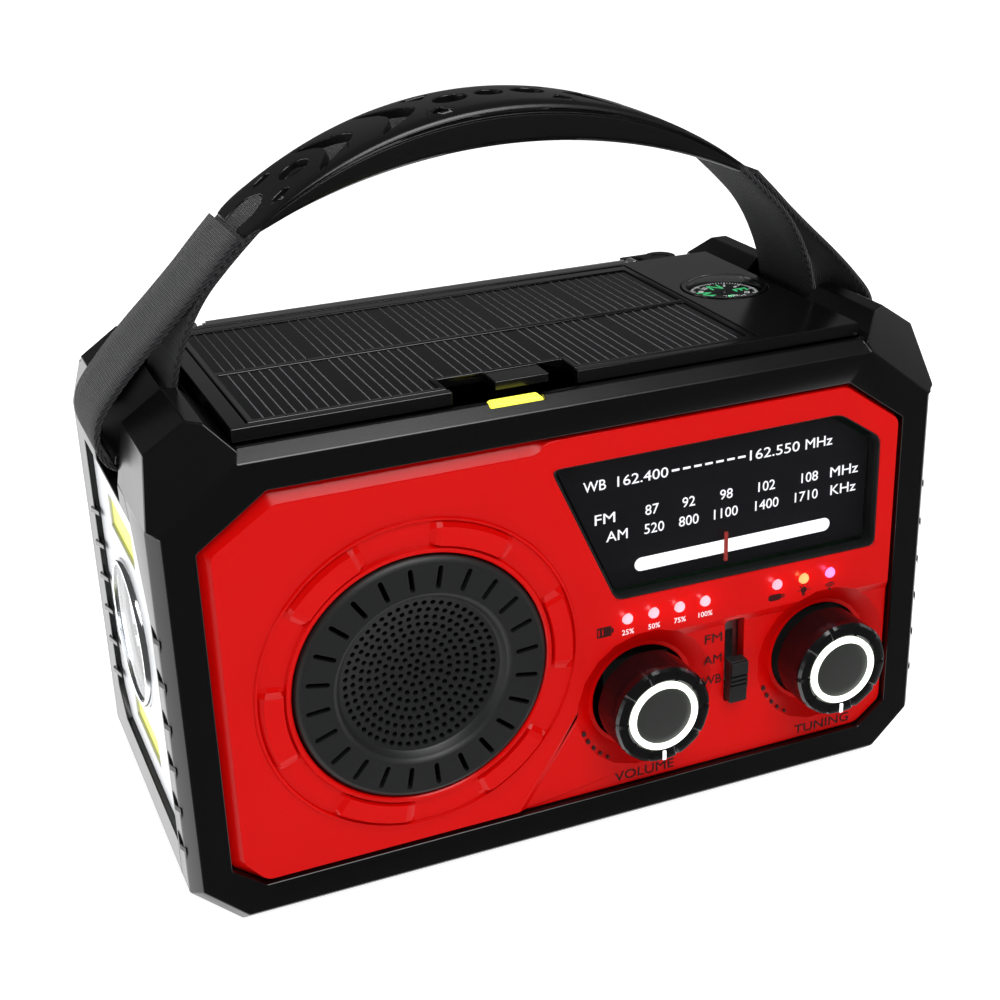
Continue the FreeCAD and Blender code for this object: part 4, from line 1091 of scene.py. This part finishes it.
def smooth_path(points, steps=6):
    """A Catmull-Rom curve through the points."""
    ends = [2 * points[0] - points[1], *points, 2 * points[-1] - points[-2]]
    path = []
    for a, b, c, d in zip(ends, ends[1:], ends[2:], ends[3:]):
        for k in range(steps):
            t = k / steps
            path.append(0.5 * (2 * b + (c - a) * t + (2 * a - 5 * b + 4 * c - d) * t * t
                               + (3 * b - a - 3 * c + d) * t ** 3))
    return [*path, points[-1]]


def ribbon(name, path, half_width, thick):
    """A strap along a path in the XZ plane, as wide as the webbing, with rounded selvedges and a weave map."""
    section = [(-1.0, -0.25), (-0.975, -0.5), (-0.5, -0.5), (0.0, -0.5), (0.5, -0.5), (0.975, -0.5), (1.0, -0.25),
               (1.0, 0.25), (0.975, 0.5), (0.5, 0.5), (0.0, 0.5), (-0.5, 0.5), (-0.975, 0.5), (-1.0, 0.25)]
    rings, lengths, run = [], [], 0.0
    for i, point in enumerate(path):
        heading = (path[min(i + 1, len(path) - 1)] - path[max(i - 1, 0)]).normalized()
        outward = Vector((-heading.z, 0, heading.x))
        run += (point - path[i - 1]).length if i else 0.0
        lengths.append(run)
        rings.append([point + Vector((0, half_width * a, 0)) + outward * thick * b for a, b in section])
    bm = bmesh.new()
    weave = bm.loops.layers.uv.new("UVMap")

    def add_face(corners):
        """A face whose corners are (vertex, u, v)."""
        face = bm.faces.new([vertex for vertex, u, v in corners])
        for corner, (vertex, u, v) in zip(face.loops, corners):
            corner[weave].uv = (u, v)

    loops = [[bm.verts.new(point) for point in ring] for ring in rings]
    across = [half_width * a + (thick if b > 0 else 0) for a, b in section]
    for i in range(len(loops) - 1):
        for j in range(len(section)):
            k = (j + 1) % len(section)
            corners = ((i, j), (i, k), (i + 1, k), (i + 1, j))
            add_face([(loops[ring][spot], lengths[ring], across[spot]) for ring, spot in corners])
    for end in (0, -1):
        add_face([(vertex, lengths[end], v) for vertex, v in zip(loops[end], across)])
    return piece(name, finished(bm), webbing, None, smooth=50)


def make_strap(side, node):
    """Webbing from the grip down through the shoulder slot, round its bar and back up to its sewn end."""
    route = [(52.6, 150.2), (56.4, 147.3), (60.4, 143.8), (64.9, 139.5), (69.3, 134.8), (72.9, 129.4),
             (75.8, 123.2), (77.6, 117.6), (78.7, 110.5), (78.8, 103.0), (80.4, 100.0), (85.5, 99.6), (91.2, 99.8),
             (94.0, 101.8), (95.2, 105.2), (95.0, 108.6), (93.4, 112.4), (88.5, 118.2), (82.5, 124.3),
             (76.5, 129.9), (70.3, 135.9), (65.6, 140.8), (61.2, 145.2)]
    path = smooth_path([Vector((side * x, 0, z)) for x, z in route])
    strap = ribbon(node + "_webbing", path, 12.5, 1.25)
    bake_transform(strap)
    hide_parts(node)


for make in (make_camera, make_stage, make_world, make_lights, make_case, make_ribs, make_front_panel,
             make_speaker_bezel, make_grille, make_knobs, make_slider, make_dial, make_leds, make_printing,
             make_top, make_compass, make_sides, make_rear, make_grip):
    make()
make_strap(-1, "strap_left")
make_strap(1, "strap_right")
